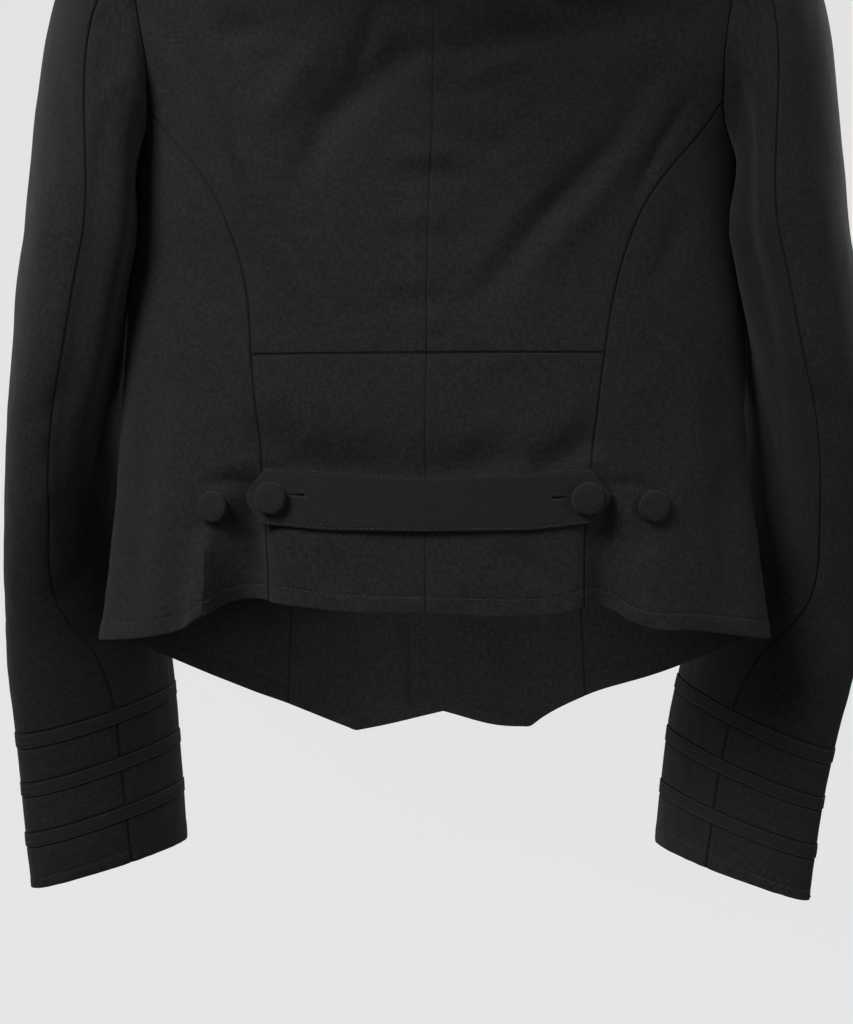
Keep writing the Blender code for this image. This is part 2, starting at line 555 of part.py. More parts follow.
def braid(name, up, tube, out):
    """One closed band of braid round the cuff, just off the sleeve's own facets."""
    rows = []
    for share in (0.5, -0.5):
        z = SLEEVE[-1][0] + (up + share * BRAID_WIDE) * 0.97
        below = next(k for k, level in enumerate(SLEEVE_ROWS) if level <= z)
        part = (SLEEVE_ROWS[below - 1] - z) / (SLEEVE_ROWS[below - 1] - SLEEVE_ROWS[below])
        k = CAP_ROWS + below
        here = tube[k] * (1 - part) + tube[k + 1] * part
        off = unit(out[k] * (1 - part) + out[k + 1] * part)
        rows.append((here + off * (BRAID_CLEAR + BRAID_THICK), here + off * BRAID_CLEAR))
    return solid(name, np.array([r[0] for r in rows]), np.array([r[1] for r in rows]), True)


def hanger():
    """A plain arched bar that follows the shoulders inside the jacket."""
    rings = []
    for x in np.linspace(-HANGER_REACH, HANGER_REACH, 19):
        end = (abs(x) / HANGER_REACH) ** 2
        high, half = 0.020 - 0.007 * end, 0.0058 - 0.0010 * end
        top = shoulder_line(x) - HANGER_CLEAR
        rings.append([(x, y * half, top - d * high) for y, d in (
            (-0.55, 0.0), (0.55, 0.0), (1.0, 0.2), (1.0, 0.8), (0.55, 1.0), (-0.55, 1.0), (-1.0, 0.8), (-1.0, 0.2))])
    rings = np.array(rings)
    places = rings.reshape(-1, 3)
    faces = []
    for i in range(len(rings) - 1):
        for j in range(8):
            a, b = i * 8 + j, i * 8 + (j + 1) % 8
            faces += [(a, b, b + 8), (a, b + 8, a + 8)]
    last = (len(rings) - 1) * 8
    for j in range(1, 7):
        faces += [(0, j + 1, j), (last, last + j, last + j + 1)]
    return finish("hanger_body", places, faces)


def hook():
    """The bent wire; the inside of its top is the origin."""
    middle = -HOOK_ROUND + WIRE / 2
    turns = np.radians(np.linspace(-48, 205, 23))
    path = [(0.0, 0.0, float(shoulder_line(0.0)) - HANGER_CLEAR + 0.0004), (0.0, 0.0, -0.0530),
            (0.0012, 0.0, -0.0480), (0.0046, 0.0, -0.0425), (0.0094, 0.0, -0.0375)]
    path += [(HOOK_ROUND * math.cos(t), 0.0, middle + HOOK_ROUND * math.sin(t)) for t in turns]
    curve = bpy.data.curves.new("hanger_hook", "CURVE")
    curve.dimensions = "3D"
    curve.bevel_depth, curve.bevel_resolution, curve.use_fill_caps = WIRE / 2, 2, True
    spline = curve.splines.new("POLY")
    spline.points.add(len(path) - 1)
    for point, at in zip(spline.points, path):
        point.co = (*at, 1)
    made = bpy.data.objects.new("hanger_hook", curve)
    parts.objects.link(made)
    return made


look(collar(), CLOTH, 0.85)
look(belt(), TRIM, 0.8)
for name, x, z, out in (
    ("button_belt_left", -0.0930, -0.5267, BELT_CLEAR + BELT_THICK + 0.0005),
    ("button_belt_right", 0.0966, -0.5273, BELT_CLEAR + BELT_THICK + 0.0005),
    ("button_outer_left", -0.1300, -0.5320, 0.0006),
    ("button_outer_right", 0.1368, -0.5316, 0.0006),
):
    at, away = place(x, z, out)
    look(button(name, at, away, BUTTON_WIDE if "belt" in name else BUTTON_WIDE * 0.97), CLOTH, 0.8)
for number, z in enumerate(FRONT_BUTTONS, 1):
    look(button(f"button_front_{number}", body(-1, 1.0, z, 0.0007), (0.0, 1.0, 0.0), BUTTON_WIDE), CLOTH, 0.8)
for side, tag in ((-1, "left"), (1, "right")):
    tube = sleeve_grid(side, seams(side)["armhole"])[0]
    for number, up in enumerate(BRAID_UP, 1):
        look(braid(f"braid_{tag}_{number}", up, tube, tube_normals(side, tube)), TRIM, 0.8)
look(hanger(), WOOD, 0.45)
look(hook(), STEEL, 0.3, 1.0)
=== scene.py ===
# A black napoleon jacket on its hanger, seen from behind: cloth, trims, buttons and stitching
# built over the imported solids. Metres throughout; the back faces -Y and the wearer's left is -X.
import math

import bpy
import numpy as np
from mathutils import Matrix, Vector


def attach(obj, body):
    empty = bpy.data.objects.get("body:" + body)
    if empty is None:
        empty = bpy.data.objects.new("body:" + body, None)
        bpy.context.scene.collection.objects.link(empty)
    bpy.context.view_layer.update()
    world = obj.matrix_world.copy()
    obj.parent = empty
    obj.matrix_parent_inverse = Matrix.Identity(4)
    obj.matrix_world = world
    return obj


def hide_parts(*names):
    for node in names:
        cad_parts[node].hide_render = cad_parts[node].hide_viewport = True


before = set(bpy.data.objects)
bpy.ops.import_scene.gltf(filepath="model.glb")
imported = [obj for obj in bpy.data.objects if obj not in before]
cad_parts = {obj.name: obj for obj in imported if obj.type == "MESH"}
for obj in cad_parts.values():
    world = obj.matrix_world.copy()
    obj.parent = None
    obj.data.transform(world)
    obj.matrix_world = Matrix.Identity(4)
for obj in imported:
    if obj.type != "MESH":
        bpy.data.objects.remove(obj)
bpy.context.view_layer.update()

view = {"azimuth": 3.0, "target": (0.0, -0.070, -0.535), "distance": 1.0, "lens": 58.6}
studio = {"floorZ": -1.95, "reach": 4.6, "cove": 1.4, "height": 4.2, "paper": 0.25, "glow": 0.672,
          "card": 0.03, "ambient": 0.13}
lamps = [  # name, place, what it points at, width and height, watts
    ("windowKey", (-1.90, -2.27, 1.66), (0.0, 0.0, -0.48), (1.6, 1.6), 124.0),
    ("roomFill", (2.3, -1.6, -0.2), (0.0, 0.0, -0.5), (1.6, 1.6), 17.0),
    ("lowFill", (-0.7, -1.9, -1.45), (0.0, 0.0, -0.66), (0.08, 0.03), 26.0),
    ("frontKey", (1.5, 2.3, 0.9), (0.0, 0.0, -0.4), (1.8, 1.8), 48.0),
    ("frontFill", (-1.9, 1.7, 0.1), (0.0, 0.0, -0.5), (1.8, 1.8), 14.0),
]
flags = [  # cards for soft shade: which lamp, what each shades, how far off, width, height
    ("napeFlag", 0, (0.015, -0.07, -0.168), 0.26, 0.21, 0.13),
    ("lowFlag", 2, (0.0, -0.07, -0.204), 1.37, 0.64, 0.330),
    ("lowFlagLeft", 2, (-0.312, -0.03, -0.68), 1.37, 0.10, 0.14),
    ("lowFlagRight", 2, (0.262, -0.03, -0.68), 1.37, 0.10, 0.14),
]


def placed(name, data):
    made = bpy.data.objects.new(name, data)
    bpy.context.scene.collection.objects.link(made)
    return made


def aim(made, place, target):
    made.location = place
    back = Vector(place) - Vector(target)
    made.rotation_mode = "QUATERNION"
    made.rotation_quaternion = (-back).to_track_quat("-Z", "Y")


def makeCamera():
    camera = placed("camera", bpy.data.cameras.new("camera"))
    camera.data.lens, camera.data.clip_start, camera.data.clip_end = view["lens"], 0.02, 60.0
    turn = math.radians(view["azimuth"])
    x, y, z = view["target"]
    away = view["distance"]
    aim(camera, (x + math.sin(turn) * away, y - math.cos(turn) * away, z), view["target"])
    bpy.context.scene.camera = camera


def makeLamps():
    for name, place, target, size, watts in lamps:
        light = bpy.data.lights.new(name, "AREA")
        light.shape, light.size, light.size_y, light.energy = "RECTANGLE", *size, watts
        lamp = placed(name, light)
        lamp.visible_camera = False
        aim(lamp, place, target)
    world = bpy.data.worlds.new("room")
    world.use_nodes = True
    sky = world.node_tree.nodes["Background"].inputs
    sky["Strength"].default_value, sky["Color"].default_value = studio["ambient"], (0.97, 0.985, 1.0, 1)
    bpy.context.scene.world = world
    bpy.context.scene.view_settings.view_transform = "Standard"


makeCamera()
makeLamps()


class Wire:
    # One output of a node; sums on wires become Math nodes.
    def __init__(self, finish, socket):
        self.finish, self.socket = finish, socket

    def sum(self, operation, *others):
        return self.finish.node("ShaderNodeMath", {"operation": operation}, dict(enumerate(others)))

    def __add__(self, other):
        return self.sum("ADD", self, other)

    __radd__ = __add__

    def __sub__(self, other):
        return self.sum("SUBTRACT", self, other)

    def __rsub__(self, other):
        return self.sum("SUBTRACT", other, self)

    def __mul__(self, other):
        return self.sum("MULTIPLY", self, other)

    __rmul__ = __mul__

    def __truediv__(self, other):
        return self.sum("DIVIDE", self, other)

    def __pow__(self, other):
        return self.sum("POWER", self, other)

    def sine(self):
        return self.sum("SINE", self)

    def size(self):
        return self.sum("ABSOLUTE", self)

    def over(self, ends):
        # from one end to the other as the wire goes from 0 to 1
        return ends[0] + self * (ends[1] - ends[0])

    def between(self, low, high):
        # 0 below low, 1 above high
        return self.finish.node("ShaderNodeMapRange", {"interpolation_type": "SMOOTHSTEP"},
                                {"Value": self, "From Min": low, "From Max": high})


class Finish:
    # One material, its shader, and the one way to add any other node to it.
    def __init__(self, name, **settings):
        self.material = bpy.data.materials.new(name)
        self.material.use_nodes = True
        self.tree = self.material.node_tree
        self.shader = self.tree.nodes["Principled BSDF"]
        for socket, value in settings.items():
            self.shader.inputs[socket.replace("_", " ")].default_value = value

    def node(self, kind, settings=None, sockets=None, out=0):
        made = self.tree.nodes.new(kind)
        for key, value in (settings or {}).items():
            if key == "stops":
                ramp = made.color_ramp
                while len(ramp.elements) < len(value):
                    ramp.elements.new(0.5)
                for stop, (place, colour) in zip(ramp.elements, value):
                    stop.position, stop.color = place, (*colour, 1)
            else:
                setattr(made, key, value)
        for key, value in (sockets or {}).items():
            if isinstance(value, Wire):
                self.tree.links.new(value.socket, made.inputs[key])
            else:
                made.inputs[key].default_value = value
        return Wire(self, made.outputs[out])

    def feed(self, **wires):
        for socket, wire in wires.items():
            self.tree.links.new(wire.socket, self.shader.inputs[socket.replace("_", " ")])

    def mix(self, share, low, high):
        # between two colours
        return self.node("ShaderNodeMix", {"data_type": "RGBA"}, {0: share, 6: (*low, 1), 7: (*high, 1)}, 2)

    def place(self):
        return self.node("ShaderNodeTexCoord", {}, {}, 3)

    def bump(self, height, distance, strength=0.8):
        return self.node("ShaderNodeBump", {}, {
            "Height": height, "Distance": distance, "Strength": strength})

    def noise(self, where, scale, detail=2.0, rough=0.5):
        return self.node("ShaderNodeTexNoise", {}, {
            "Vector": where, "Scale": scale, "Detail": detail, "Roughness": rough})

    def stretched(self, where, by):
        return self.node("ShaderNodeVectorMath", {"operation": "MULTIPLY"}, {0: where, 1: by})

    def grain(self):
        # metres across and along the cloth's grain and the painted shade that darkens it near seams, kept on
        # each point of a piece
        where = self.node("ShaderNodeAttribute", {"attribute_name": "grain"}, {}, 1)
        split = self.node("ShaderNodeSeparateXYZ", {}, {0: where}).socket.node
        return where, *(Wire(self, out) for out in split.outputs)


suiting = {"low": (0.0030, 0.0030, 0.0038), "high": (0.0160, 0.0160, 0.0188), "threads": 0.00052,
           "rough": (0.80, 0.93), "relief": 0.00012, "sheen": 0.06}
trim = {"low": (0.0006, 0.0006, 0.0010), "high": (0.0150, 0.0148, 0.0168), "ribs": 0.00210, "turn": 0.0050,
        "threads": 0.0005, "rough": (0.76, 0.92), "relief": 0.00030, "sheen": 0.03}
threadLook = {"low": (0.0120, 0.0122, 0.0130), "high": (0.0250, 0.0252, 0.0270), "rough": (0.55, 0.7),
              "relief": 0.0001}
woodLook = {"low": (0.27, 0.16, 0.085), "high": (0.50, 0.335, 0.19), "rough": (0.30, 0.46),
            "relief": 0.0001}
steelLook = {"low": (0.42, 0.42, 0.43), "high": (0.66, 0.66, 0.67), "rough": (0.20, 0.36),
             "relief": 0.00005}
turn = 2 * math.pi


def suitingFinish(name, look, fine=1.0):
    # plain weave: threads over and under, slubs along both ways, a little fluff, and painted shade darkening
    # the colour at seams
    cloth = Finish(name, Sheen_Weight=look["sheen"], Sheen_Roughness=0.45, Specular_IOR_Level=0.32)
    where, across, along, seam = cloth.grain()
    step = look["threads"] * fine
    over = (across * (turn / step)).sine() * (along * (turn / step)).sine()
    slubAcross = cloth.noise(cloth.stretched(where, (190, 1500, 1)), 1.0)
    slubAlong = cloth.noise(cloth.stretched(where, (1500, 190, 1)), 1.0)
    patchy = cloth.noise(where, 130.0, 3.0, 0.6)
    fluff = cloth.noise(where, 430.0, 3.0, 0.7)
    # the last factor is painted shade: the colour darkened along seams, standing in for the shade in the
    # seam's gap
    tone = (0.46 + over * 0.10 + (slubAcross - 0.5) * 1.0 + (slubAlong - 0.5) * 1.1 + (patchy - 0.5) * 0.45
            + (fluff - 0.5) * 1.9) * (1.0 - seam * 0.8)
    height = over * 0.5 + slubAcross * 0.7 + slubAlong * 0.7 + fluff * 0.5
    cloth.feed(Base_Color=cloth.mix(tone.between(0.0, 1.0), look["low"], look["high"]),
               Roughness=slubAcross.over(look["rough"]), Normal=cloth.bump(height, look["relief"]))
    return cloth.material


def herringboneFinish(name, look, ribs=1.0):
    # slanting ribs that turn back at every band
    cloth = Finish(name, Sheen_Weight=look["sheen"], Sheen_Roughness=0.4, Specular_IOR_Level=0.4)
    where, across, along, _ = cloth.grain()
    band = along / (look["turn"] * ribs)
    zigzag = (band.sum("FRACT", band) - 0.5).size() * (2 * look["turn"] * ribs)
    rib = ((across + zigzag * 0.8) * (turn / (look["ribs"] * ribs))).sine()
    fluff = cloth.noise(where, 700.0, 2.0, 0.6)
    threads = (along * (turn / look["threads"])).sine() * (across * (turn / look["threads"])).sine()
    tone = 0.32 + rib * 0.50 + (fluff - 0.5) * 1.6 + threads * 0.06
    height = rib * 0.5 + fluff * 0.3 + threads * 0.1
    cloth.feed(Base_Color=cloth.mix(tone.between(0.0, 1.0), look["low"], look["high"]),
               Roughness=rib.between(-1.0, 1.0).over(look["rough"][::-1]),
               Normal=cloth.bump(height, look["relief"], 0.9))
    return cloth.material


def threadFinish(name, look):
    thread = Finish(name, Sheen_Weight=0.1, Specular_IOR_Level=0.4)
    place = thread.place()
    twist = thread.noise(place, 2600.0, 1.0)
    worn = thread.noise(place, 60.0, 2.0)
    tone = twist * 0.7 + worn * 0.5 - 0.1
    thread.feed(Base_Color=thread.mix(tone, look["low"], look["high"]), Roughness=worn.over(look["rough"]),
                Normal=thread.bump(twist, look["relief"]))
    return thread.material


def woodFinish(name, look):
    wood = Finish(name, Coat_Roughness=0.2)
    place = wood.place()
    figure = wood.noise(wood.stretched(place, (6, 90, 90)), 1.6, 4.0, 0.6)
    pores = wood.noise(wood.stretched(place, (40, 900, 900)), 1.0, 2.0, 0.6)
    rings = (figure * 34.0).sine() * 0.5 + 0.5
    tone = rings * 0.55 + figure * 0.3 + pores * 0.3
    wood.feed(Base_Color=wood.mix(tone, look["low"], look["high"]), Roughness=pores.over(look["rough"]),
              Coat_Weight=0.35 + figure * 0.1, Normal=wood.bump(pores, look["relief"], 0.5))
    return wood.material


def steelFinish(name, look):
    steel = Finish(name, Metallic=1.0)
    place = steel.place()
    brushed = steel.noise(steel.stretched(place, (60, 60, 1500)), 1.0, 2.0, 0.6)
    worn = steel.noise(place, 120.0, 3.0, 0.6)
    steel.feed(Base_Color=steel.mix(brushed, look["low"], look["high"]), Roughness=worn.over(look["rough"]),
               Normal=steel.bump(brushed, look["relief"], 0.5))
    return steel.material


def studioFinish(name, shade, glow):
    paper = Finish(name, Base_Color=(shade, shade, shade, 1), Roughness=0.95, Specular_IOR_Level=0.1)
    paper.shader.inputs["Emission Color"].default_value = (0.995, 1.0, 0.995, 1)
    paper.shader.inputs["Emission Strength"].default_value = glow
    return paper.material


def gridFaces(rows, cols, closed=True):
    # the four-sided faces between the rows of a grid, closed when its last column meets the first
    i, j = np.meshgrid(np.arange(rows - 1), np.arange(cols if closed else cols - 1), indexing="ij")
    k = (j + 1) % cols
    return np.stack([i * cols + j, i * cols + k, (i + 1) * cols + k, (i + 1) * cols + j], -1).reshape(-1, 4)


def makeStudio():
    # one turned surface: floor, cove and wall
    cove, reach = studio["cove"], studio["reach"]
    profile = [(0.0, 0.0), (reach * 0.3, 0.0), (reach - cove, 0.0)]
    profile += [(reach - cove + cove * math.sin(a), cove - cove * math.cos(a))
                for a in np.linspace(0.1, math.pi / 2, 14)]
    profile.append((reach, studio["height"]))
    around = 72
    places = [(r * math.cos(t), r * math.sin(t), studio["floorZ"] + z)
              for r, z in profile for t in np.linspace(0, turn, around, endpoint=False)]
    mesh = bpy.data.meshes.new("studioPaper")
    mesh.from_pydata(places, [], gridFaces(len(profile), around).tolist())
    mesh.shade_smooth()
    mesh.materials.append(studioFinish("studioPaper", studio["paper"], studio["glow"]))
    paper = placed("studioPaper", mesh)
    paper.visible_diffuse = paper.visible_glossy = False


def makeFlags():
    black = studioFinish("flagCard", studio["card"], 0.0)
    for name, lamp, shaded, away, wide, high in flags:
        w, h = wide / 2, high / 2
        made = bpy.data.meshes.new(name)
        made.from_pydata([(-w, -h, 0), (w, -h, 0), (w, h, 0), (-w, h, 0)], [], [(0, 1, 2, 3)])
        made.materials.append(black)
        card = placed(name, made)
        lit, shaded = Vector(lamps[lamp][1]), Vector(shaded)
        aim(card, shaded + (lit - shaded).normalized() * away, shaded)
        card.visible_camera = card.visible_diffuse = card.visible_glossy = False


makeStudio()
makeFlags()
finishes = {
    "suiting": suitingFinish("blackSuiting", suiting),
    "covered": suitingFinish("buttonCloth", suiting, 0.9),
    "herringbone": herringboneFinish("beltHerringbone", trim),
    "braid": herringboneFinish("braidHerringbone", trim, 0.8),
    "thread": threadFinish("sewingThread", threadLook),
    "wood": woodFinish("hangerBeech", woodLook),
    "steel": steelFinish("hookWire", steelLook),
}
print("stage and finishes made")

# The jacket's measures, as the solids have them
body = {
    "squareness": 2.5, "halfTurn": 0.43, "napeZ": -0.100, "neck": (0.070, -0.080),
    "shoulder": (0.194, -0.125), "turnUp": 0.00070, "tuck": (0.0008, 0.0004),
    "shoulderFall": 0.095, "frontNeckZ": -0.168, "waistZ": -0.4395, "underarmZ": -0.318, "sideSeam": 0.475,
    "lap": {-1: 0.022, 1: 0.016}, "underLap": 0.0024, "wall": 0.0015, "gap": 0.00006,
    # paintedSeamShade: how far across a seam the painted shade darkens the colour
    "round": 0.00035, "hemFold": 0.0097, "edgeFold": 0.0053, "paintedSeamShade": 0.00062,
    # z, half width, half depth
    "widths": [
        (-0.730, 0.2190, 0.0655), (-0.660, 0.2170, 0.0660), (-0.604, 0.2125, 0.0665),
        (-0.570, 0.2080, 0.0675), (-0.525, 0.2035, 0.0685), (-0.485, 0.2010, 0.0695),
        (-0.440, 0.1990, 0.0710), (-0.382, 0.1955, 0.0735), (-0.329, 0.1915, 0.0755),
        (-0.305, 0.1920, 0.0755), (-0.285, 0.1975, 0.0752), (-0.260, 0.2095, 0.0745),
        (-0.228, 0.2230, 0.0735), (-0.170, 0.2400, 0.0690), (-0.125, 0.2500, 0.0640),
        (-0.080, 0.2550, 0.0600), (-0.030, 0.2600, 0.0580)],
    # z, sideways drift
    "drift": [(-0.75, 0.0), (-0.43, 0.0), (-0.36, 0.0014), (-0.29, 0.0040), (-0.228, 0.0042),
              (-0.17, 0.0026), (-0.12, 0.0008), (-0.06, 0.0), (0, 0)],
    # z, distance of the princess seams from the centre
    "backSeam": {
        -1: [(-0.284, 0.1785), (-0.305, 0.1610), (-0.326, 0.1425), (-0.347, 0.1290), (-0.373, 0.1180),
             (-0.401, 0.1105), (-0.4395, 0.1070), (-0.4845, 0.1026), (-0.548, 0.0993), (-0.592, 0.1010)],
        1: [(-0.284, 0.1755), (-0.305, 0.1620), (-0.326, 0.1450), (-0.347, 0.1310), (-0.373, 0.1200),
            (-0.401, 0.1125), (-0.4395, 0.1068), (-0.4845, 0.1020), (-0.548, 0.0966), (-0.592, 0.0958)]},
    "frontSeam": [(-0.296, 0.1660), (-0.315, 0.1480), (-0.345, 0.1260), (-0.385, 0.1090), (-0.440, 0.0990),
                  (-0.520, 0.0960), (-0.600, 0.0985), (-0.664, 0.1010)],
    # distance from the centre, z
    "backHem": {
        -1: [(0.0, -0.5965), (0.052, -0.5950), (0.082, -0.5920), (0.101, -0.5900), (0.112, -0.5900),
             (0.127, -0.5930), (0.142, -0.6030), (0.154, -0.6080), (0.166, -0.6110), (0.2125, -0.6165)],
        1: [(0.0, -0.5965), (0.068, -0.5974), (0.083, -0.5960), (0.0958, -0.5920), (0.108, -0.5914),
            (0.114, -0.5944), (0.124, -0.6010), (0.134, -0.6045), (0.164, -0.6070), (0.2125, -0.6145)]},
    "frontHem": {
        -1: [(-0.022, -0.6665), (-0.010, -0.6690), (0.0, -0.6715), (0.050, -0.6830), (0.055, -0.6838),
             (0.061, -0.6815), (0.101, -0.6655), (0.150, -0.6460), (0.2125, -0.6165)],
        1: [(-0.022, -0.6640), (-0.013, -0.6660), (0.0, -0.6690), (0.057, -0.6805), (0.064, -0.6800),
            (0.070, -0.6755), (0.101, -0.6590), (0.150, -0.6425), (0.2125, -0.6145)]},
    # distance from the centre, z, down the armhole
    "armBack": {
        -1: [(0.1940, -0.1250), (0.1935, -0.1320), (0.1925, -0.1450), (0.1905, -0.1660),
             (0.1880, -0.1930), (0.1845, -0.2240), (0.1795, -0.2560), (0.1785, -0.2840)],
        1: [(0.1940, -0.1250), (0.1930, -0.1320), (0.1910, -0.1450), (0.1880, -0.1660),
            (0.1840, -0.1930), (0.1800, -0.2240), (0.1755, -0.2560), (0.1755, -0.2840)]},
    "armFront": [(0.1940, -0.1250), (0.1925, -0.1320), (0.1880, -0.1450), (0.1800, -0.1660),
                 (0.1715, -0.1930), (0.1645, -0.2260), (0.1620, -0.2620), (0.1660, -0.2960)],
    # the solids' own largest folds: places (x, z), heights, half width
    "largeFolds": [
        ([(-0.121, -0.536), (-0.118, -0.565), (-0.116, -0.600)], (0.0, -0.004, -0.010), 0.0130),
        ([(-0.141, -0.544), (-0.140, -0.570), (-0.140, -0.606)], (0.0, 0.003, 0.008), 0.0110),
        ([(0.116, -0.536), (0.117, -0.565), (0.118, -0.600)], (0.0, -0.003, -0.007), 0.0130),
        ([(0.144, -0.546), (0.145, -0.575), (0.146, -0.606)], (0.0, 0.002, 0.005), 0.0130)],
}
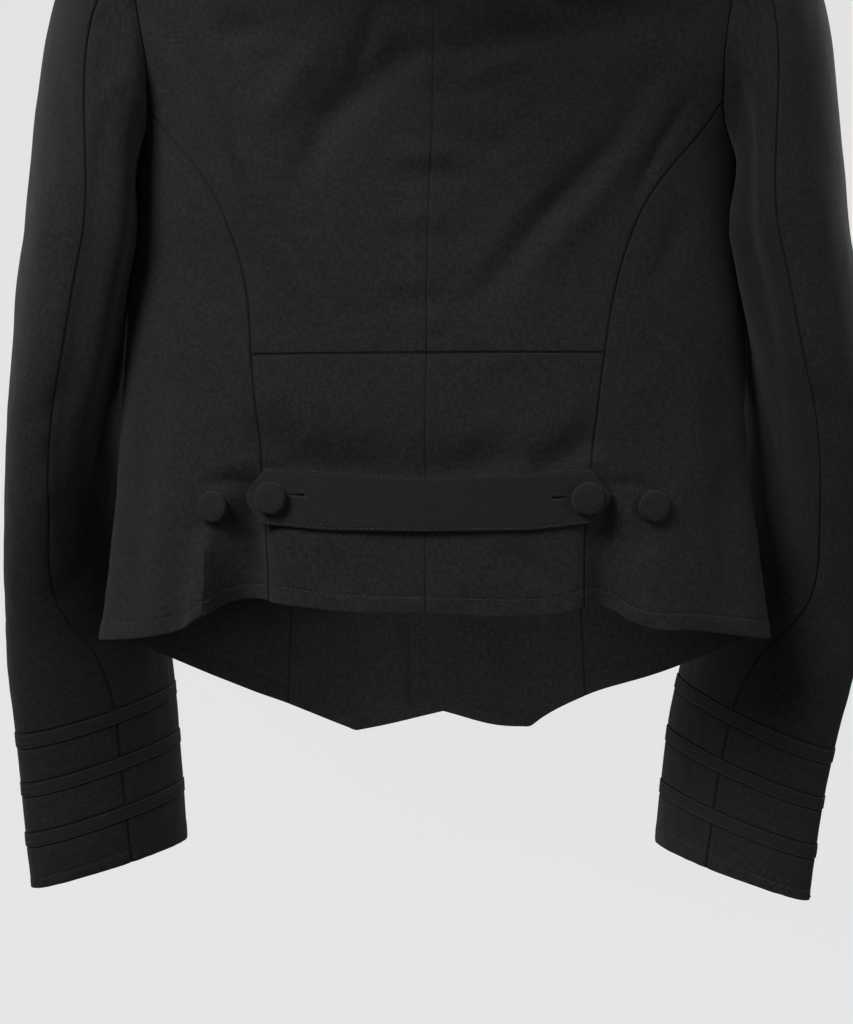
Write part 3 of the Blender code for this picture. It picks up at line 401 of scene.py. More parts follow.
# Creases seen on the cloth: places (x, z), height at each in mm, half width in mm
creases = {
    "depth": {"back": 2.7, "front": 1.6},
    "back": [
        ([(-0.1644, -0.2356), (-0.138, -0.28), (-0.1224, -0.3076), (-0.1104, -0.3358),
          (-0.0924, -0.364), (-0.072, -0.388), (-0.054, -0.412)],
         (-0.3, -1.2, -1.4, -1.2, -1.1, -0.8, 0.0), 4.5),  # left shoulder to waist, its trough
        ([(-0.1686, -0.2458), (-0.1446, -0.286), (-0.129, -0.3148), (-0.117, -0.343),
          (-0.099, -0.3718), (-0.0786, -0.397)],
         (0.2, 1.2, 1.4, 1.2, 0.9, 0.0), 8.5),  # left shoulder to waist, its ridge
        ([(-0.0072, -0.2548), (-0.0234, -0.2656), (-0.042, -0.277), (-0.0624, -0.2968),
          (-0.0744, -0.325), (-0.0792, -0.3508)],
         (-0.8, -2.8, -3.5, -2.8, -1.4, 0.0), 12.0),  # left of the nape, wide
        ([(-0.0582, -0.2428), (-0.0762, -0.2638), (-0.0954, -0.2908), (-0.1062, -0.3058)],
         (0.4, 1.4, 1.2, 0.0), 10.0),  # beside it
        ([(-0.1422, -0.241), (-0.1182, -0.2422), (-0.0912, -0.2446)],
         (0.0, -1.4, 0.0), 8.0),  # below the left shoulder
        ([(0.0138, -0.2542), (0.0318, -0.2518), (0.0516, -0.250), (0.096, -0.244), (0.1398, -0.236)],
         (-1.0, -2.4, -3.0, -2.6, -0.8), 12.0),  # across the right back
        ([(0.015, -0.2782), (0.0318, -0.271), (0.048, -0.2638), (0.0678, -0.259)],
         (0.3, 1.2, 1.0, 0.0), 7.0),  # under it
        ([(0.021, -0.3118), (0.0378, -0.316), (0.0528, -0.313)],
         (-0.5, -1.1, 0.0), 8.5),  # right of the centre seam
        ([(0.1618, -0.2318), (0.1448, -0.257), (0.1296, -0.2798), (0.114, -0.3116), (0.0936, -0.3356),
          (0.0738, -0.356), (0.054, -0.380), (0.0378, -0.3998), (0.0258, -0.4178)],
         (-0.3, -1.2, -2.2, -2.7, -2.7, -2.5, -2.0, -1.0, 0.0), 9.5),  # right shoulder to waist, its trough
        ([(0.1518, -0.2458), (0.144, -0.259), (0.1278, -0.2908), (0.1116, -0.3238), (0.0918, -0.352),
          (0.072, -0.3736), (0.0498, -0.3958)],
         (0.3, 1.4, 1.9, 1.9, 1.8, 1.2, 0.0), 11.0),  # right shoulder to waist, its ridge
        ([(0.1578, -0.2806), (0.147, -0.2968), (0.1368, -0.3148), (0.1278, -0.3358), (0.12, -0.361)],
         (0.0, -0.9, -1.0, -0.8, 0.0), 4.0),  # inside the right princess seam
        ([(0.1542, -0.3448), (0.1506, -0.3628), (0.1434, -0.385), (0.1356, -0.4078)],
         (0.0, -1.2, -1.1, 0.0), 9.0),  # right side
        ([(-0.1014, -0.4700), (-0.0954, -0.4900), (-0.0822, -0.5060), (-0.0564, -0.5110),
          (-0.0342, -0.5120), (-0.0132, -0.5130)],
         (0.0, -2.2, -3.6, -3.8, -3.0, -1.8), 19.0),  # left above the belt
        ([(0.1068, -0.4828), (0.0978, -0.4926), (0.0858, -0.502), (0.0726, -0.507)],
         (0.0, -1.6, -2.2, -1.8), 12.0),  # right end above the belt
        ([(0.0628, -0.4960), (0.0478, -0.503), (0.0278, -0.5088), (0.0108, -0.5112)],
         (0.0, -2.0, -2.6, -1.8), 14.0),  # right above the belt
        ([(-0.1332, -0.517), (-0.1212, -0.5158), (-0.1062, -0.5182)],
         (-0.4, -1.3, -0.5), 4.5),  # left button's pull
        ([(0.111, -0.5194), (0.123, -0.5182), (0.1338, -0.5206)],
         (-0.3, -0.9, -0.3), 4.5),  # right button's pull
        ([(-0.1314, -0.5422), (-0.1344, -0.5548), (-0.1356, -0.5728), (-0.1362, -0.595)],
         (0.0, 0.7, 1.0, 1.0), 3.4),  # left hem fold, its ridge
        ([(0.1278, -0.5488), (0.1302, -0.5698), (0.1326, -0.5938)],
         (0.0, 0.8, 1.0), 9.0),  # right hem fold, its ridge
        ([(0.0438, -0.5566), (0.0618, -0.5674), (0.081, -0.5818)],
         (0.0, -0.9, -0.3), 7.0),  # right below the belt
        ([(-0.063, -0.553), (-0.0534, -0.5674), (-0.045, -0.5842)],
         (0.0, -0.7, -0.3), 7.0),  # left below the belt
        ([(-0.1662, -0.4078), (-0.1722, -0.4498), (-0.1794, -0.4978), (-0.1854, -0.5518),
          (-0.189, -0.595)],
         (0.0, -0.8, -1.1, -1.2, -0.8), 13.0),  # left side
        ([(-0.1512, -0.4558), (-0.1554, -0.4978), (-0.1602, -0.5518), (-0.165, -0.595)],
         (0.0, 0.7, 1.1, 1.0), 12.0),  # left side, outer
        ([(0.177, -0.4258), (0.1806, -0.4798), (0.1842, -0.5398), (0.1866, -0.5914)],
         (0.0, -0.9, -1.2, -1.0), 11.0),  # right side, outer
        ([(-0.1080, -0.5030), (-0.1070, -0.5200), (-0.1065, -0.5350), (-0.1075, -0.5520),
          (-0.1085, -0.5700), (-0.1105, -0.5930)],
         (0.0, -2.2, -3.4, -4.0, -4.0, -3.2), 12.5),  # left hem, the dark valley
        ([(-0.1370, -0.5460), (-0.1360, -0.5600), (-0.1355, -0.5780), (-0.1360, -0.6000)],
         (0.0, 1.6, 2.4, 2.4), 7.0),  # left hem, the bright crest
        ([(0.1000, -0.5050), (0.1040, -0.5250), (0.1070, -0.5500), (0.1080, -0.5900)],
         (0.0, -2.0, -3.0, -2.8), 11.0),  # right hem, the dark valley
        ([(-0.0930, -0.5530), (-0.0960, -0.5700), (-0.0975, -0.5900)],
         (0.0, -0.7, -1.0), 7.0),  # left hem, inside it
        ([(-0.0330, -0.2280), (-0.0420, -0.2560), (-0.0500, -0.2740)],
         (-1.2, -1.8, 0.0), 6.0),  # left of the nape, its core
        ([(0.0560, -0.2200), (0.0780, -0.2300), (0.1080, -0.2330)],
         (-1.4, -1.8, -0.8), 7.0),  # right of the nape, its core
    ],
    "front": [
        ([(-0.150, -0.160), (-0.120, -0.190), (-0.085, -0.215), (-0.050, -0.230)],
         (0.0, 1.6, 1.4, 0.0), 10.0),
        ([(0.155, -0.165), (0.118, -0.200), (0.080, -0.235), (0.045, -0.255)], (0.0, 1.4, 1.6, 0.0), 11.0),
        ([(-0.160, -0.255), (-0.125, -0.280), (-0.080, -0.290)], (0.0, -1.5, 0.0), 8.0),
        ([(0.158, -0.250), (0.120, -0.272), (0.085, -0.276)], (0.0, -1.3, 0.0), 8.0),
        ([(-0.150, -0.330), (-0.125, -0.380), (-0.110, -0.430)], (0.0, -1.2, 0.0), 9.0),
        ([(0.152, -0.340), (0.126, -0.385), (0.112, -0.440)], (0.0, -1.3, 0.0), 9.0),
        ([(-0.088, -0.440), (-0.058, -0.452), (-0.020, -0.450)], (0.0, 1.0, 0.3), 7.0),
        ([(0.086, -0.455), (0.052, -0.446), (0.020, -0.442)], (0.0, 1.0, 0.3), 7.0),
        ([(-0.130, -0.500), (-0.124, -0.570), (-0.120, -0.655)], (0.0, -1.4, -2.2), 12.0),
        ([(0.128, -0.500), (0.124, -0.560), (0.122, -0.645)], (0.0, -1.2, -2.0), 12.0),
        ([(-0.055, -0.540), (-0.050, -0.600), (-0.048, -0.670)], (0.0, 1.0, 1.6), 12.0),
        ([(0.058, -0.535), (0.055, -0.600), (0.055, -0.670)], (0.0, 0.9, 1.5), 13.0),
    ],
}
sleeve = {
    # z, centre x left and right, centre y, half length and breadth, turn, back and front seam, skew
    "rings": [
        (-0.360, 0.2250, 0.2250, -0.0010, 0.0660, 0.0390, -16.0, 84.0, 240.0, 0.00),
        (-0.410, 0.2330, 0.2330, 0.0060, 0.0620, 0.0380, -8.0, 92.0, 250.0, 0.00),
        (-0.460, 0.2385, 0.2385, 0.0180, 0.0580, 0.0360, 8.0, 106.0, 262.0, 0.00),
        (-0.520, 0.2400, 0.2385, 0.0350, 0.0555, 0.0335, 30.0, 126.0, 280.0, -0.02),
        (-0.580, 0.2410, 0.2340, 0.0530, 0.0555, 0.0300, 48.0, 145.0, 300.0, -0.05),
        (-0.630, 0.2390, 0.2240, 0.0665, 0.0560, 0.0270, 56.0, 176.0, 336.0, -0.10),
        (-0.665, 0.2375, 0.2170, 0.0750, 0.0560, 0.0250, 58.0, 185.0, 349.0, -0.14),
        (-0.700, 0.2360, 0.2110, 0.0830, 0.0560, 0.0238, 60.0, 187.0, 351.0, -0.17),
        (-0.782, 0.2320, 0.2020, 0.0960, 0.0560, 0.0225, 60.0, 189.0, 353.0, -0.19)],
    "columns": 22, "columnWide": 0.0155, "seams": (4, 17), "headZ": -0.395, "wall": 0.0015, "clear": 0.0030,
    "under": 0.0012, "linePlaces": 221,
    # places (column, z), height at each in mm, half width in mm
    "creases": [
        ([(5.8, -0.262), (5.0, -0.285), (4.4, -0.320)], (0.6, 1.4, 0.0), 6.0),
        ([(2.0, -0.230), (3.2, -0.290), (4.2, -0.360)], (0.0, -1.6, 0.0), 9.0),
        ([(1.0, -0.300), (2.4, -0.360), (3.6, -0.430)], (0.0, 1.5, 0.0), 11.0),
        ([(6.0, -0.440), (4.0, -0.470), (2.0, -0.485)], (0.0, -1.5, 0.0), 8.0),
        ([(6.2, -0.500), (4.2, -0.520), (2.4, -0.548)], (0.0, 1.4, 0.0), 9.0),
        ([(7.0, -0.560), (5.0, -0.585), (3.0, -0.600)], (0.0, -1.6, 0.0), 8.0),
        ([(18.8, -0.455), (17.0, -0.470), (15.2, -0.468)], (0.0, -2.2, 0.0), 7.0),
        ([(19.0, -0.498), (17.2, -0.508), (15.0, -0.500)], (0.0, 1.8, 0.0), 8.0),
        ([(18.6, -0.535), (16.8, -0.542), (15.2, -0.530)], (0.0, -2.0, 0.0), 7.0),
        ([(20.5, -0.210), (19.0, -0.280), (17.6, -0.340)], (0.0, -1.6, 0.0), 11.0),
        ([(21.5, -0.300), (20.2, -0.370), (19.0, -0.430)], (0.0, 1.4, 0.0), 12.0),
        ([(10.0, -0.400), (12.0, -0.440), (14.0, -0.452)], (0.0, -1.2, 0.0), 9.0),
        ([(21.0, -0.590), (20.0, -0.630), (19.0, -0.655)], (0.0, -1.0, 0.0), 9.0),
        ([(1.0, -0.600), (2.0, -0.640), (3.5, -0.662)], (0.0, 1.0, 0.0), 9.0),
    ],
    "sided": {
        -1: [([(5.6, -0.205), (6.2, -0.280), (6.3, -0.370), (6.2, -0.450), (5.8, -0.530)],
              (1.0, 8.0, 9.0, 7.0, 0.0), 16.0)],
        1: [([(6.6, -0.180), (6.8, -0.270), (6.6, -0.370), (6.2, -0.470)], (-2.0, -7.0, -6.0, 0.0), 15.0),
            ([(4.6, -0.200), (4.8, -0.290), (5.0, -0.380)], (-1.0, -2.5, 0.0), 12.0)]},
}
belt = {
    "top": [(-0.1085, -0.5225), (-0.0970, -0.5082), (-0.0580, -0.5110), (0.0, -0.5140), (0.0560, -0.5122),
            (0.0990, -0.5088), (0.1105, -0.5235)],
    "foot": [(-0.1085, -0.5295), (-0.0990, -0.5425), (-0.0600, -0.5462), (0.0, -0.5470), (0.0620, -0.5462),
             (0.1000, -0.5420), (0.1105, -0.5300)],
    "thick": 0.0022, "clear": 0.0008, "bow": 0.0012, "bowHalf": 0.08, "edge": 0.0016, "second": 0.0044,
    "secondFrom": 0.0960, "flat": (0.219, 0.034), "area": 0.0072,
    "holes": [(-0.0800, -0.5248, 0.0075), (0.0838, -0.5266, 0.0080)],
}
buttons = {
    "wide": 0.0200, "high": 0.0052,
    # how far out and how high, as shares of the width and the height
    "profile": [(0.05, 0.04), (0.30, 0.02), (0.38, 0.03), (0.430, 0.08), (0.465, 0.16), (0.488, 0.28),
                (0.498, 0.42), (0.497, 0.56), (0.488, 0.68), (0.470, 0.785), (0.440, 0.855), (0.400, 0.900),
                (0.340, 0.935), (0.260, 0.962), (0.170, 0.984), (0.080, 0.997), (0.030, 1.0)],
    # name, x, z, how far off the back, share of the full width
    "back": [("button_belt_left", -0.0930, -0.5267, 0.0039, 1.0),
             ("button_belt_right", 0.0966, -0.5273, 0.0039, 1.0),
             ("button_outer_left", -0.1300, -0.5320, 0.0006, 0.97),
             ("button_outer_right", 0.1368, -0.5316, 0.0006, 0.97)],
    "front": (-0.205, -0.280, -0.355, -0.430, -0.505, -0.580),
}
braid = {"wide": 0.0098, "thick": 0.00034, "seat": 0.00012, "up": (0.03686, 0.07275, 0.10767)}
collar = {"high": 0.038, "frontShare": 0.86, "thick": 0.0022}
hanger = {"reach": 0.172, "clear": 0.0046, "wire": 0.0034, "hook": 0.0200}
stitch = {"long": 0.0026, "pitch": 0.0032, "round": 0.00026, "hem": 0.0100, "front": 0.0055,
          "collar": 0.0045, "inside": 0.0004}
holeStitch = {"long": 0.0019, "pitch": 0.0020, "round": 0.00028}
# Grooves sunk where cloth is sewn: depth and half width
grooves = {"seam": (0.00110, 0.00058), "centreBack": (0.00030, 0.00090), "hem": (0.00040, 0.0009),
           "front": (0.00035, 0.0008), "sleeve": (0.00150, 0.00058), "besideBraid": (0.0010, 0.0006),
           "onBraid": (0.00030, 0.0005), "belt": (0.00035, 0.0006), "beltSecond": (0.00030, 0.0006),
           "collar": (0.00035, 0.0008), "neck": (0.0006, 0.0010)}
# Puckers beside what is sewn: height and reach
puckers = {"seam": (0.00017, 0.0075), "centreBack": (0.0025, 0.022), "hem": (0.00050, 0.006),
           "sleeve": (0.00020, 0.008), "sleeveHead": (0.00045, 0.014)}


def along(table, t, column=1):
    # the smooth value of a table's column at t
    k = np.array(sorted(table), float)
    x, y = k[:, 0], k[:, column]
    t = np.clip(np.asarray(t, float), x[0], x[-1])
    m = np.gradient(y, x)
    i = np.clip(np.searchsorted(x, t) - 1, 0, len(x) - 2)
    h = x[i + 1] - x[i]
    u = (t - x[i]) / h
    return (y[i] * (1 + 2 * u) * (1 - u) ** 2 + y[i + 1] * u * u * (3 - 2 * u)
            + h * m[i] * u * (1 - u) ** 2 - h * m[i + 1] * u * u * (1 - u))


def unit(v):
    return v / np.maximum(np.linalg.norm(v, axis=-1, keepdims=True), 1e-12)


def bell(far, half):
    # 1 at nought, fading within about half either way
    return np.exp(-((far / half) ** 2))


def groove(far, depth, half):
    return -depth * bell(far, half)


def ramp(x, start, span):
    # 0 before start, 1 once span past it
    return np.clip((x - start) / span, 0, 1)


def signed(x, power):
    return np.sign(x) * np.abs(x) ** power


def pucker(waves, far, where):
    height, reach = puckers[where]
    return height * waves * bell(far, reach)


def seamWelt(far):
    # the turnings of a seam, felt through the cloth
    return 0.00014 * bell(far - 0.006, 0.003)


def runOf(line):
    # the length run along a line at each of its places
    return np.r_[0, np.cumsum(np.linalg.norm(np.diff(line, axis=0), axis=1))]


def sample(line, marks, t):
    # places on a line, whose own places stand at marks
    return np.stack([np.interp(t, marks, line[:, c]) for c in range(line.shape[1])], -1)


def wander(a, b, size, seed):
    # smooth wandering between -1 and 1 over the cloth, about size metres apart
    lattice = np.random.default_rng(seed).uniform(-1, 1, (64, 64))
    a, b = np.asarray(a) / size + 16.3, np.asarray(b) / size + 40.7
    i, j = np.floor(a).astype(int), np.floor(b).astype(int)
    u, v = a - i, b - j
    u, v = (t * t * t * (t * (6 * t - 15) + 10) for t in (u, v))
    low = lattice[i % 64, j % 64] * (1 - u) + lattice[(i + 1) % 64, j % 64] * u
    high = lattice[i % 64, (j + 1) % 64] * (1 - u) + lattice[(i + 1) % 64, (j + 1) % 64] * u
    return low * (1 - v) + high * v


def creased(table, x, z, unitLength=0.001, stretch=1.0):
    # the sum of a table's ridges and troughs at (x, z)
    out = np.zeros(np.broadcast(x, z).shape)
    for places, heights, half in table:
        best, height = np.full_like(out, 9.0), np.zeros_like(out)
        for (a, b), (ha, hb) in zip(zip(places, places[1:]), zip(heights, heights[1:])):
            dx, dz = (b[0] - a[0]) * stretch, b[1] - a[1]
            px, pz = (x - a[0]) * stretch, z - a[1]
            t = np.clip((px * dx + pz * dz) / (dx * dx + dz * dz), 0, 1)
            far = np.hypot(px - t * dx, pz - t * dz)
            nearer = far < best
            height = np.where(nearer, ha + (hb - ha) * t, height)
            best = np.where(nearer, far, best)
        out += height * unitLength * bell(best, half * unitLength)
    return out


levels, shares = np.arange(-0.74, -0.026, 0.002), np.linspace(0, 1, 257)


def ringTable():
    # the body's plain sections, each as (x, y) at even shares of its length from back to front
    phi = np.linspace(0, math.pi, 1441)
    power, rows = 2 / body["squareness"], []
    for z in levels:
        x = along(body["widths"], z) * np.abs(np.sin(phi)) ** power
        y = -along(body["widths"], z, 2) * signed(np.cos(phi), power)
        run = runOf(np.stack([x, y], 1))
        rows.append((np.interp(shares, run / run[-1], x), np.interp(shares, run / run[-1], y)))
    return np.array(rows)


rings = ringTable()


def ring(s, z):
    # the plain section: x out from the centre and y, at share s of the way from back to front
    over = (s > 1) | (s < 0)
    s = np.where(s > 1, 2 - s, np.abs(s))
    i = np.clip((z - levels[0]) / (levels[1] - levels[0]), 0, len(levels) - 1.001)
    j = np.clip(s, 0, 1) * (len(shares) - 1.001)
    i0, j0 = i.astype(int), j.astype(int)
    u, v = i - i0, j - j0
    x, y = (
        (rings[i0, c, j0] * (1 - u) + rings[i0 + 1, c, j0] * u) * (1 - v)
        + (rings[i0, c, j0 + 1] * (1 - u) + rings[i0 + 1, c, j0 + 1] * u) * v
        for c in (0, 1))
    return np.where(over, -x, x), y


def shoulderLine(x):
    # height of the shoulder seam, rounded over inside the neck
    (neckX, neckZ), (shoulderX, shoulderZ) = body["neck"], body["shoulder"]
    x = np.abs(x)
    run = np.where(x < neckX, (x * x / neckX - neckX) / 2, x - neckX)
    return neckZ + run * (shoulderZ - neckZ) / (shoulderX - neckX)


def shareAt(x, z, front=False):
    # the share of the half ring where the body is x from the centre
    grid = np.linspace(0.5, 1, 257) if front else np.linspace(0, 0.5, 257)
    xs = ring(grid, np.full_like(grid, z))[0]
    if front:
        s = np.interp(abs(x), xs[::-1], grid[::-1])
        return s if x >= 0 else 2 - s
    s = np.interp(abs(x), xs, grid)
    return s if x >= 0 else -s


def plain(side, s, z, out=0.0):
    # places on one side of the body, before its creases
    s, z = np.broadcast_arrays(np.asarray(s, float), np.asarray(z, float))
    x, y = ring(s, z)
    a, b, n = along(body["widths"], z), along(body["widths"], z, 2), body["squareness"]
    nx, ny = signed(x / a, n - 1) / a, signed(y / b, n - 1) / b
    size = np.hypot(nx, ny)
    far = np.where(y < 0, creased(body["largeFolds"], side * x, z, 1.0), 0) + out
    rise = ramp(shoulderLine(x), z, body["shoulderFall"])
    close = (1 - (1 - rise) ** 2) ** 0.7
    x, y = side * (x + nx / size * far) + along(body["drift"], z), (y + ny / size * far) * close
    return np.stack([x, y, z], -1)


def outward(side, s, z, out=0.0):
    ds, dz = 2e-4, 4e-4
    a = plain(side, s + ds, z, out) - plain(side, s - ds, z, out)
    b = plain(side, s, np.minimum(z + dz, -0.03), out) - plain(side, s, np.maximum(z - dz, -0.735), out)
    return unit(np.cross(a, b)) * side


def relief(side, s, z):
    # how far the cloth stands off its plain form: creases, and slow and small wandering
    x = ring(s, z)[0] * side
    run = side * s * body["halfTurn"]
    back, front = (creased(creases[k], x, z) * creases["depth"][k] * np.clip(way * (0.5 - s) / 0.03, 0, 1)
                   for k, way in (("back", 1), ("front", -1)))
    calm = ramp(shoulderLine(x), z, 0.02)
    slow = 0.0015 * wander(run, z, 0.085, 3) + 0.0009 * wander(run * 1.2, z, 0.040, 5)
    slant = 0.00042 * wander(run - side * z * 0.7, z * 0.35 + run * 0.2, 0.016, 7)
    fine = 0.00012 * wander(run, z, 0.0085, 9)
    return (back + front + slow + slant + fine) * calm


def dense(*parts):
    # a seam line as a fine row of (share, z): each part is (how many steps, places along it)
    rows, marks, start = [], [], 0.0
    for steps, places in parts:
        places = np.asarray(places, float)
        keep = places if not rows else places[1:]
        marks.append(np.linspace(start, start + steps, len(places))[len(places) - len(keep):])
        rows.append(keep)
        start += steps
    return np.concatenate(rows), np.concatenate(marks) / start


def onto(line, t):
    return sample(*line, t)


fineSteps = 40


def tableLine(table, front=False):
    # a table of (distance, z) rows as fine (share, z) places
    rows = [(k, *row) for k, row in enumerate(table)]
    t = np.linspace(0, len(table) - 1, (len(table) - 1) * fineSteps + 1)
    return np.array([(shareAt(x, z, front), z) for x, z in zip(along(rows, t, 1), along(rows, t, 2))])


def seamLine(table, low, high, steps, front=False):
    z = np.linspace(low, high, steps * fineSteps + 1)
    return np.array([(shareAt(x, h, front), h) for x, h in zip(along(table, z), z)])


def hemLine(side, s0, s1, steps, front):
    s = np.linspace(s0, s1, steps * fineSteps + 1)
    z = np.full_like(s, -0.64 if front else -0.60)
    for _ in range(3):
        z = along(body["frontHem" if front else "backHem"][side], ring(s, z)[0])
    return np.stack([s, z], 1)


def seamsOf(side):
    # every seam line of one half of the body
    (neckX, neckZ), (shoulderX, shoulderZ) = body["neck"], body["shoulder"]
    armBack, armFront = tableLine(body["armBack"][side]), tableLine(body["armFront"], True)
    t = np.linspace(0, 1, 4 * fineSteps + 1)[:, None]
    dip = np.sin(t * math.pi / 2) ** 0.8
    middle = np.array([body["sideSeam"], body["underarmZ"]])
    share = np.concatenate([t, dip], 1)
    sideBackTop = armBack[-1] + (middle - armBack[-1]) * share
    sideFrontTop = (armFront[-1] + (middle - armFront[-1]) * share)[::-1]
    waist = body["waistZ"]
    upper = seamLine(body["backSeam"][side], armBack[-1][1], waist, 6)
    footZ = float(along(body["backHem"][side], along(body["backSeam"][side], -0.592)))
    lower = seamLine(body["backSeam"][side], waist, footZ, 7)
    sideFoot = body["backHem"][side][-1][1]
    sideUpper, sideLower = (
        np.stack([np.full(n * fineSteps + 1, body["sideSeam"]), np.linspace(a, b, n * fineSteps + 1)], 1)
        for n, a, b in ((6, body["underarmZ"], waist), (7, waist, sideFoot)))
    frontFoot = float(along(body["frontHem"][side], 0.101))
    frontUpper = seamLine(body["frontSeam"], armFront[-1][1], -0.447, 6, True)
    frontLower = seamLine(body["frontSeam"], -0.447, frontFoot, 7, True)
    frontUpper[0], upper[0] = armFront[-1], armBack[-1]
    a = np.linspace(0, math.pi / 2, 4 * fineSteps + 1)
    neck = np.array([(shareAt(x, z), z) for x, z in zip(
        neckX * np.sin(a), neckZ + (body["napeZ"] - neckZ) * np.maximum(np.cos(a), 0) ** 1.5)])
    x = np.linspace(neckX, shoulderX, 6 * fineSteps + 1)
    shoulderBack, shoulderFront = (np.array([(shareAt(k, z, f), z) for k, z in zip(x, shoulderLine(x))])
                                   for f in (False, True))
    a = np.linspace(0.12, math.pi / 2, 5 * fineSteps + 1)
    neckFront = np.array([(shareAt(k, z, True), z) for k, z in zip(
        neckX * np.sin(a) ** 0.9, neckZ + (body["frontNeckZ"] - neckZ) * np.maximum(np.cos(a), 0) ** 1.1)])
    lapShare, edgeTop = body["lap"][side] / body["halfTurn"], body["frontNeckZ"] - 0.002
    centre, corner = (1.0, body["frontNeckZ"]), (1 + lapShare, edgeTop)
    topBack = dense((4, neck), (6, shoulderBack))
    topFront = dense((6, shoulderFront[::-1]), (5, neckFront[::-1]), (1, [neckFront[0], centre]),
                     (1, [centre, corner]))
    away = dense((7, armBack), (6, upper))
    rows = away[0][:, 1]
    centreZ = body["napeZ"] + (rows - shoulderZ) * (waist - body["napeZ"]) / (waist - shoulderZ)
    centreBack = (np.stack([np.zeros_like(rows), centreZ], 1), away[1])
    hemFoot = float(along(body["backHem"][side], 0.0))
    centreLow = dense((7, [(0.0, waist), (0.0, hemFoot)]))
    frontNear = dense((7, armFront), (6, frontUpper), (7, frontLower))
    edgeFoot = float(along(body["frontHem"][side], -body["lap"][side]))
    rows = frontNear[0][:, 1]
    edgeZ = edgeTop + (rows - shoulderZ) * (edgeFoot - edgeTop) / (frontFoot - shoulderZ)
    edge = (np.stack([np.full_like(rows, 1 + lapShare), edgeZ], 1), frontNear[1])
    hemEnds = [centreLow[0][-1], lower[-1], sideLower[-1], frontLower[-1], edge[0][-1]]
    hemShares = [0.0, lower[-1][0], body["sideSeam"], frontLower[-1][0], 1 + lapShare]
    hems = []
    for k, (steps, front) in enumerate(((10, False), (4, False), (4, True), (13, True))):
        hems.append(hemLine(side, hemShares[k], hemShares[k + 1], steps, front))
        hems[k][0], hems[k][-1] = hemEnds[k], hemEnds[k + 1]
    waistBack = dense((10, [(0.0, waist), tuple(upper[-1])]))
    princess, sides = dense((6, upper), (7, lower)), dense((6, sideUpper), (7, sideLower))
    return {
        "back_upper": (topBack, waistBack, centreBack, away),
        "back_lower": (waistBack, dense((10, hems[0])), centreLow, dense((7, lower))),
        "side_back": (dense((4, sideBackTop)), dense((4, hems[1])), princess, sides),
        "side_front": (dense((4, sideFrontTop)), dense((4, hems[2])), sides,
                       dense((6, frontUpper), (7, frontLower))),
        "front": (topFront, dense((13, hems[3])), frontNear, edge),
        "armhole": dense((7, armBack), (4, sideBackTop), (4, sideFrontTop), (7, armFront[::-1])),
        "neck": (neck, neckFront),
    }


def coons(lines, u, v):
    # (share, z) between four seam lines at any u across and v down
    top, foot, near, away = lines
    corners = [onto(top, 0.0), onto(top, 1.0), onto(foot, 0.0), onto(foot, 1.0)]
    t, f, n, w = onto(top, u), onto(foot, u), onto(near, v), onto(away, v)
    u, v = u[..., None], v[..., None]
    return ((1 - v) * t + v * f + (1 - u) * n + u * w
            - (1 - u) * (1 - v) * corners[0] - u * (1 - v) * corners[1]
            - (1 - u) * v * corners[2] - u * v * corners[3])


seamSteps = np.array([0.0, 0.25, 0.6, 1.0, 1.6, 2.4, 3.6, 5.2]) / 1000
hemSteps = np.array([0.0, 0.3, 0.7, 1.3, 2.4, 4.0, 6.0, 7.8, 8.9, 9.5, 10.0, 10.5, 11.2, 12.6, 15.0]) / 1000
pieces = {  # columns and rows between the fine edges; how the foot and the far edge end
    "back_upper": {"grid": (74, 160), "foot": "seam", "away": "seam"},
    "back_lower": {"grid": (62, 80), "foot": "hem", "away": "seam"},
    "side_back": {"grid": (42, 136), "foot": "hem", "away": "seam"},
    "side_front": {"grid": (36, 120), "foot": "hem", "away": "seam"},
    "front": {"grid": (56, 168), "foot": "hem", "away": "edge"},
}
corners = {"back_upper": (7 / 13, -1), "front": (7 / 20, 0)}  # share down that edge, and which edge
roughMarks = np.linspace(0, 1, 41)


def lapOffset(side, s):
    # the wearer's right front steps inward before it reaches the left one's edge
    if side < 0:
        return np.zeros_like(s)
    t = ramp(s, 0.890, 0.045)
    return -body["underLap"] * t * t * (3 - 2 * t)


def folded(far, wide):
    # 1 where the cloth is turned under, as far as wide from its edge
    return 1 - ramp(far, wide, 0.0006)


def lengths(grid, axis):
    return np.linalg.norm(np.diff(grid, axis=axis), axis=-1).sum(axis)


def spaced(size, nearSteps, farSteps, count):
    # shares of a length from 0 to 1 with given steps at both ends
    a, b = nearSteps / size, 1 - farSteps[::-1] / size
    return np.r_[a[:-1], np.linspace(a[-1], b[0], count), b[1:]]


def walled(grid, normal, outer, inner, *grain):
    # the outer and inner places of a cloth wall, each so far off its grid, and its grain with the painted
    # seam shade as its third part
    return {"outer": grid + normal * outer[..., None], "inner": grid + normal * inner[..., None],
            "grain": np.stack(np.broadcast_arrays(*grain), -1)}


